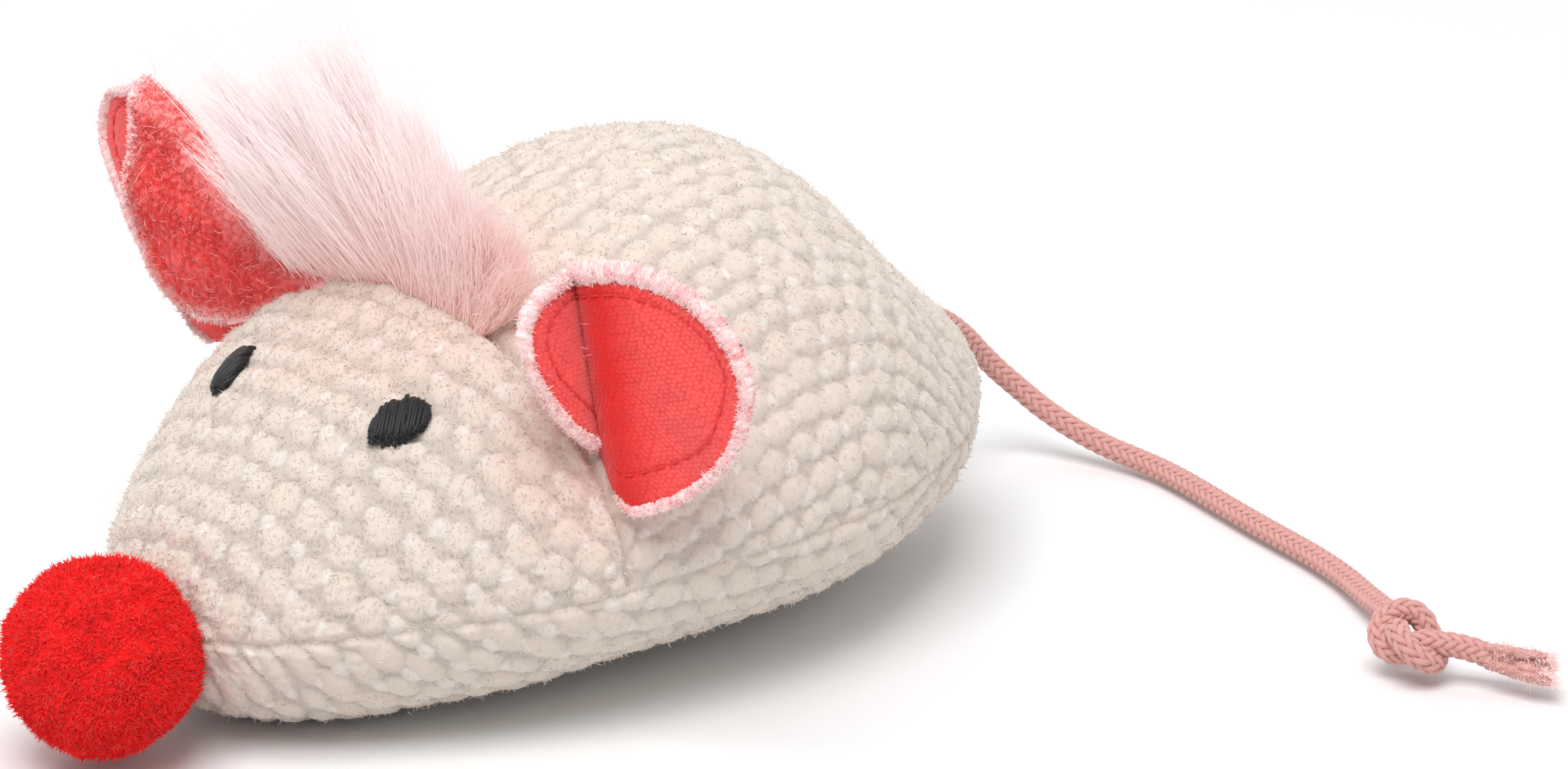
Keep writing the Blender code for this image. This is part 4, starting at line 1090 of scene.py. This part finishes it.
def tail_line():
    """The whole visible tail: the route, the knot and the short end, a third of a millimetre a step."""
    knot = tied_knot(KNOT_ENTRY, KNOT_LEAVE, KNOT_CORD)
    line = np.vstack([catmull_rom(TAIL_ROUTE, 12), knot, catmull_rom(TAIL_END, 4)])
    line = resample(line, TAIL_STEP)
    joins = np.min([np.linalg.norm(line - place, axis=1) for place in (KNOT_ENTRY, KNOT_LEAVE)], axis=0)
    ease = (0.02 + 0.58 * (1 - smoothstep(1.5, 4.0, joins)))[1:-1, None]
    for _ in range(30):
        line[1:-1] += ((line[:-2] + line[2:]) / 2 - line[1:-1]) * ease
    line[:, 2] = np.maximum(line[:, 2], CORD_RADIUS + 0.02)
    return resample(line, TAIL_STEP)


def carried_frames(line):
    """Side and up directions that turn as little as possible along a line."""
    tangent = unit(np.gradient(line, axis=0))
    side = np.zeros_like(line)
    side[0] = unit(np.cross(tangent[0], [0, 0, 1.0]))
    for i in range(1, len(line)):
        side[i] = unit(side[i - 1] - tangent[i] * np.dot(side[i - 1], tangent[i]))
    return side, np.cross(side, tangent)


def braid(name, line, surface, body):
    """Sixteen strands wound eight each way, each passing over two and under two."""
    side, up = carried_frames(line)
    along = arc_lengths(line)
    winding = 2 * math.pi * along / BRAID_PITCH
    points, shades = [], []
    sides = 6
    around = np.arange(sides) * 2 * math.pi / sides
    for way in (1, -1):
        for k in range(BRAID_CARRIERS):
            angle = way * winding + 2 * math.pi * k / BRAID_CARRIERS
            wave = way * np.sin(math.pi * k + way * 4 * winding + math.pi / 4)
            radius = BRAID_MIDDLE + BRAID_WAVE * wave
            out = side * np.cos(angle)[:, None] + up * np.sin(angle)[:, None]
            middle = line + out * radius[:, None]
            run = unit(np.gradient(middle, axis=0))
            across = unit(np.cross(run, out))
            strand = (middle[:, None] + across[:, None] * (np.cos(around) * STRAND_HALF_WIDTH)[:, None]
                      + out[:, None] * (np.sin(around) * STRAND_HALF_DEPTH)[:, None])
            # Painted shade: a strand is lighter where it passes over and on its outer face, darker where it
            # dips under.
            height = 0.5 + 0.35 * wave[:, None] + 0.25 * np.sin(around)
            points.append(strand)
            shades.append(tones(np.clip(height, 0, 1), chance=hashed(k, way)))
    steps = len(line)
    base = grid_faces(steps, sides, wrap=True)
    faces = np.concatenate([base + i * steps * sides for i in range(2 * BRAID_CARRIERS)])
    return new_piece(name, np.array(points), faces, surface, body, np.array(shades))


def make_tail_ring():
    """The knit is gathered round the opening that the cord comes out of."""
    turn = np.linspace(0, 2 * math.pi, 199)[:, None]
    tube = np.linspace(0, 2 * math.pi, 28, endpoint=False)[None]
    stitch = np.abs(np.sin(turn * RING_STITCHES / 2)) ** 0.6
    size = RING_THICKNESS * (0.80 + 0.30 * stitch)
    radius = RING_RADIUS + size * np.cos(tube)
    points = np.stack([TAIL_X - 0.3 + size * np.sin(tube), radius * np.cos(turn),
                       TAIL_EXIT[2] + radius * np.sin(turn)], axis=-1)
    shade = np.clip(0.25 + 0.6 * stitch + 0 * tube, 0, 1)
    ring = new_piece("tail_ring", points, grid_faces(*shade.shape, wrap=True), knit, "shell",
                     tones(shade, chance=0.5))


def make_tail():
    line = tail_line()
    cord = braid("tail_braid", line, pink_braid, "tail")
    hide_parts("tail_cord", "tail_knot", "tail_end")

    lead_line = resample(np.array([LEAD_START, TAIL_EXIT]), 0.4)
    lead = braid("tail_lead", lead_line, pink_braid, "tail")

    source = np.random.default_rng(71)
    start = line[-5]
    run = np.subtract(FRAY_END, start)
    axis = unit(run)
    side = unit(np.cross(axis, [0, 0, 1.0]))
    up = np.cross(side, axis)
    turn = np.arange(FRAY_STRANDS) * 2.4
    ray = side * np.cos(turn)[:, None] + up * np.sin(turn)[:, None]
    disc = 1.15 * np.sqrt((np.arange(FRAY_STRANDS) + 0.5) / FRAY_STRANDS)
    reach = np.linalg.norm(run) * source.uniform(0.76, 1.0, FRAY_STRANDS)
    t = np.linspace(0, 1, 14)[None, :, None]
    strands = (start + axis * t * reach[:, None, None]
               + ray[:, None] * disc[:, None, None] * (1 + 0.7 * t ** 0.7)
               + source.normal(size=(FRAY_STRANDS, 1, 3)) * 0.4 * t ** 1.5
               + source.normal(size=(FRAY_STRANDS, 1, 3)) * 0.3 * np.sin(t * 5))
    strands[..., 2] = np.maximum(strands[..., 2], 0.6)
    points, faces = tubes(strands, FRAY_RADII, 9)
    points = points + 0.10 * source.normal(size=points.shape)
    shade = np.clip(0.75 + 0.15 * source.normal(size=len(points)), 0, 1)
    fray = new_piece("tail_fray", points, faces, pink_braid, "tail", tones(shade))

    count = FLUFF_FIBRES
    at = source.integers(2, 14, count)
    root = strands[source.integers(0, FRAY_STRANDS, count), at]
    aim = unit(axis * (0.2 + 0.05 * at)[:, None] + source.normal(size=(count, 3)) * 0.6)
    length = source.uniform(0.5, 1.35, count)[:, None, None]
    t = np.linspace(0, 1, 4)[None, :, None]
    lines = root[:, None] + aim[:, None] * t * length + source.normal(size=(count, 1, 3)) * 0.3 * t ** 2
    lines[..., 2] = np.maximum(lines[..., 2], 0.05)
    fluff = ribbons("tail_fluff", lines, (0.10, 0.10, 0.08, 0.03), (0.2, 0.3, 0.4, 0.5),
                    pale_fur, "tail", 72, pink=1.0)
    length = arc_lengths(line)[-1] * MM


# ================================================================ inner parts
def plastic(name, base, warm, roughness, grain=900):
    m = Nodes(name)
    fine = m.noise(grain, 4)
    m.colour(m.mix(m.share(m.noise(90, 3), 0.4), base, warm))
    m.rough(fine, roughness - 0.08, roughness + 0.08)
    m.set(Specular_IOR_Level=0.5, Coat_Weight=0.08)
    m.bump(fine, 0.25, 0.05)
    return m.material


def metal(name, base, wear_and_crease_shade, roughness, stretch):
    m = Nodes(name)
    brushed = m.noise(700, 4, stretch)
    m.colour(m.mix(m.share(brushed, 0.6), base, wear_and_crease_shade))
    m.rough(brushed, roughness - 0.08, roughness + 0.12)
    m.set(Metallic=1.0)
    m.bump(brushed, 0.2, 0.02)
    return m.material


def finish_inner_parts():
    white_plastic = plastic("housing_plastic", (0.90, 0.90, 0.88), (0.84, 0.84, 0.80), 0.42)
    clear_grey = plastic("cover_plastic", (0.80, 0.82, 0.84), (0.74, 0.76, 0.79), 0.36)
    acetal = plastic("gear_acetal", (0.95, 0.93, 0.87), (0.89, 0.86, 0.78), 0.38, 1400)
    drum_plastic = plastic("drum_plastic", (0.30, 0.42, 0.62), (0.25, 0.36, 0.55), 0.40)
    bush_plastic = plastic("bush_plastic", (0.93, 0.80, 0.78), (0.88, 0.73, 0.71), 0.42)
    bright_steel = metal("bright_steel", (0.72, 0.73, 0.75), (0.60, 0.61, 0.63), 0.28, (1, 1, 8))
    blue_steel = metal("spring_steel", (0.38, 0.42, 0.52), (0.50, 0.45, 0.42), 0.32, (1, 1, 0.2))
    cast_brass = metal("cast_brass", (0.80, 0.66, 0.38), (0.66, 0.52, 0.28), 0.38, (1, 1, 1))
    filling = soft_material(
        "filling", ((0.35, (0.84, 0.84, 0.83)), (0.65, (0.97, 0.97, 0.96))), (), (0.95, 0.4, 0.5, 0.15),
        over=FILLING_STRANDS, bump=(FILLING_STRANDS, 0.8, 0.6))
    wound_braid = soft_material(
        "wound_braid", ((0.35, (0.86, 0.56, 0.54)), (0.65, (0.97, 0.76, 0.74))), (), (0.85, 0.3, 0.5, 0.2),
        over=WINDING_WEAVE, bump=(WINDING_WEAVE, 0.7, 0.25))
    tie_thread = soft_material(
        "tie_thread", ((0.35, (0.70, 0.05, 0.07)), (0.65, (0.90, 0.14, 0.14))), (), (0.7, 0.3, 0.5, 0.25),
        over=TIE_TWIST, bump=(TIE_TWIST, 0.5, 0.1))
    finishes = (
        (filling, ("head_stuffing", "body_stuffing")),
        (white_plastic, ("housing_base",)),
        (clear_grey, ("housing_cover",)),
        (bright_steel, ("housing_screw_1", "housing_screw_2", "housing_screw_3", "housing_screw_4",
                        "drum_axle", "second_axle", "rotor_axle")),
        (drum_plastic, ("cord_drum",)),
        (acetal, ("drum_gear", "second_pinion", "second_wheel", "rotor_pinion")),
        (wound_braid, ("cord_winding",)),
        (blue_steel, ("mainspring",)),
        (cast_brass, ("eccentric_weight",)),
        (bush_plastic, ("cord_guide",)),
        (tie_thread, ("nose_tie",)),
    )
    for surface, names in finishes:
        for name in names:
            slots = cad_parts[name].data.materials
            slots.clear()
            slots.append(surface)


# ================================================================ the whole
knit_panel("head_knit", "head_panel", NOSE_X, EAR_SEAM_X, 0.0, math.pi, True, 9.0)
knit_panel("back_knit", "back_panel", EAR_SEAM_X, TAIL_X, 0.0, math.pi, False, 4.8)
knit_panel("base_knit", "base_panel", NOSE_X, TAIL_X, math.pi, 2 * math.pi, False, 3.0, 0.42)
make_pompom()
make_eye("left_eye_stitches", "left_eye", -1, LEFT_EYE, 33)
make_eye("right_eye_stitches", "right_eye", 1, RIGHT_EYE, 34)
make_ears()
make_hair()
make_tail_ring()
make_tail()
finish_inner_parts()


# ================================================================ stage, light, camera
WORLD_LIGHT = 0.50
KEY_LIGHT = 15.5
FILL_LIGHT = 1.8
RIM_LIGHT = 3.0
FLOOR_HALF = 3.0
FLOOR_LEVEL = -0.0004
LIGHT_TARGET = (0, 0, 0.03)


def make_stage():
    mesh = bpy.data.meshes.new("floor")
    corners = ((-1, -1), (1, -1), (1, 1), (-1, 1))
    mesh.from_pydata([(x * FLOOR_HALF, y * FLOOR_HALF, FLOOR_LEVEL) for x, y in corners], [], [(0, 1, 2, 3)])
    floor = bpy.data.objects.new("floor", mesh)
    bpy.context.scene.collection.objects.link(floor)
    m = Nodes("pale_floor")
    m.set(Base_Color=(0.84, 0.84, 0.84, 1), Roughness=0.9, Specular_IOR_Level=0.1)
    mesh.materials.append(m.material)

    world = bpy.data.worlds.new("studio")
    world.use_nodes = True
    background = world.node_tree.nodes["Background"]
    background.inputs["Color"].default_value = (0.97, 0.98, 1.0, 1)
    background.inputs["Strength"].default_value = WORLD_LIGHT
    bpy.context.scene.world = world
    bpy.context.scene.view_settings.view_transform = "Standard"


def add_light(name, place, size, power):
    light = bpy.data.lights.new(name, "AREA")
    light.size = size
    light.energy = power
    made = bpy.data.objects.new(name, light)
    made.location = place
    direction = Vector(LIGHT_TARGET) - Vector(place)
    made.rotation_euler = direction.to_track_quat("-Z", "Y").to_euler()
    bpy.context.scene.collection.objects.link(made)


def make_camera():
    a, e = CAMERA_AZIMUTH, CAMERA_ELEVATION
    back = Vector((math.sin(a) * math.cos(e), -math.cos(a) * math.cos(e), math.sin(e)))
    right = Vector((math.cos(a), math.sin(a), 0))
    up = back.cross(right)
    data = bpy.data.cameras.new("camera")
    data.sensor_width = SENSOR_WIDTH
    data.lens = PIXELS_PER_MM * CAMERA_DISTANCE / PICTURE_WIDTH * SENSOR_WIDTH
    data.clip_start = 0.01
    camera = bpy.data.objects.new("camera", data)
    place = (Vector(CAMERA_TARGET) + back * CAMERA_DISTANCE) * MM
    turn = Matrix((right, up, back)).transposed().to_4x4()
    camera.matrix_world = Matrix.Translation(place) @ turn
    bpy.context.scene.collection.objects.link(camera)
    bpy.context.scene.camera = camera


make_stage()
add_light("key", (-0.45, -0.28, 1.25), 0.9, KEY_LIGHT)
add_light("fill", (0.9, -0.8, 0.6), 0.9, FILL_LIGHT)
add_light("rim", (0.3, 0.9, 0.9), 0.8, RIM_LIGHT)
make_camera()
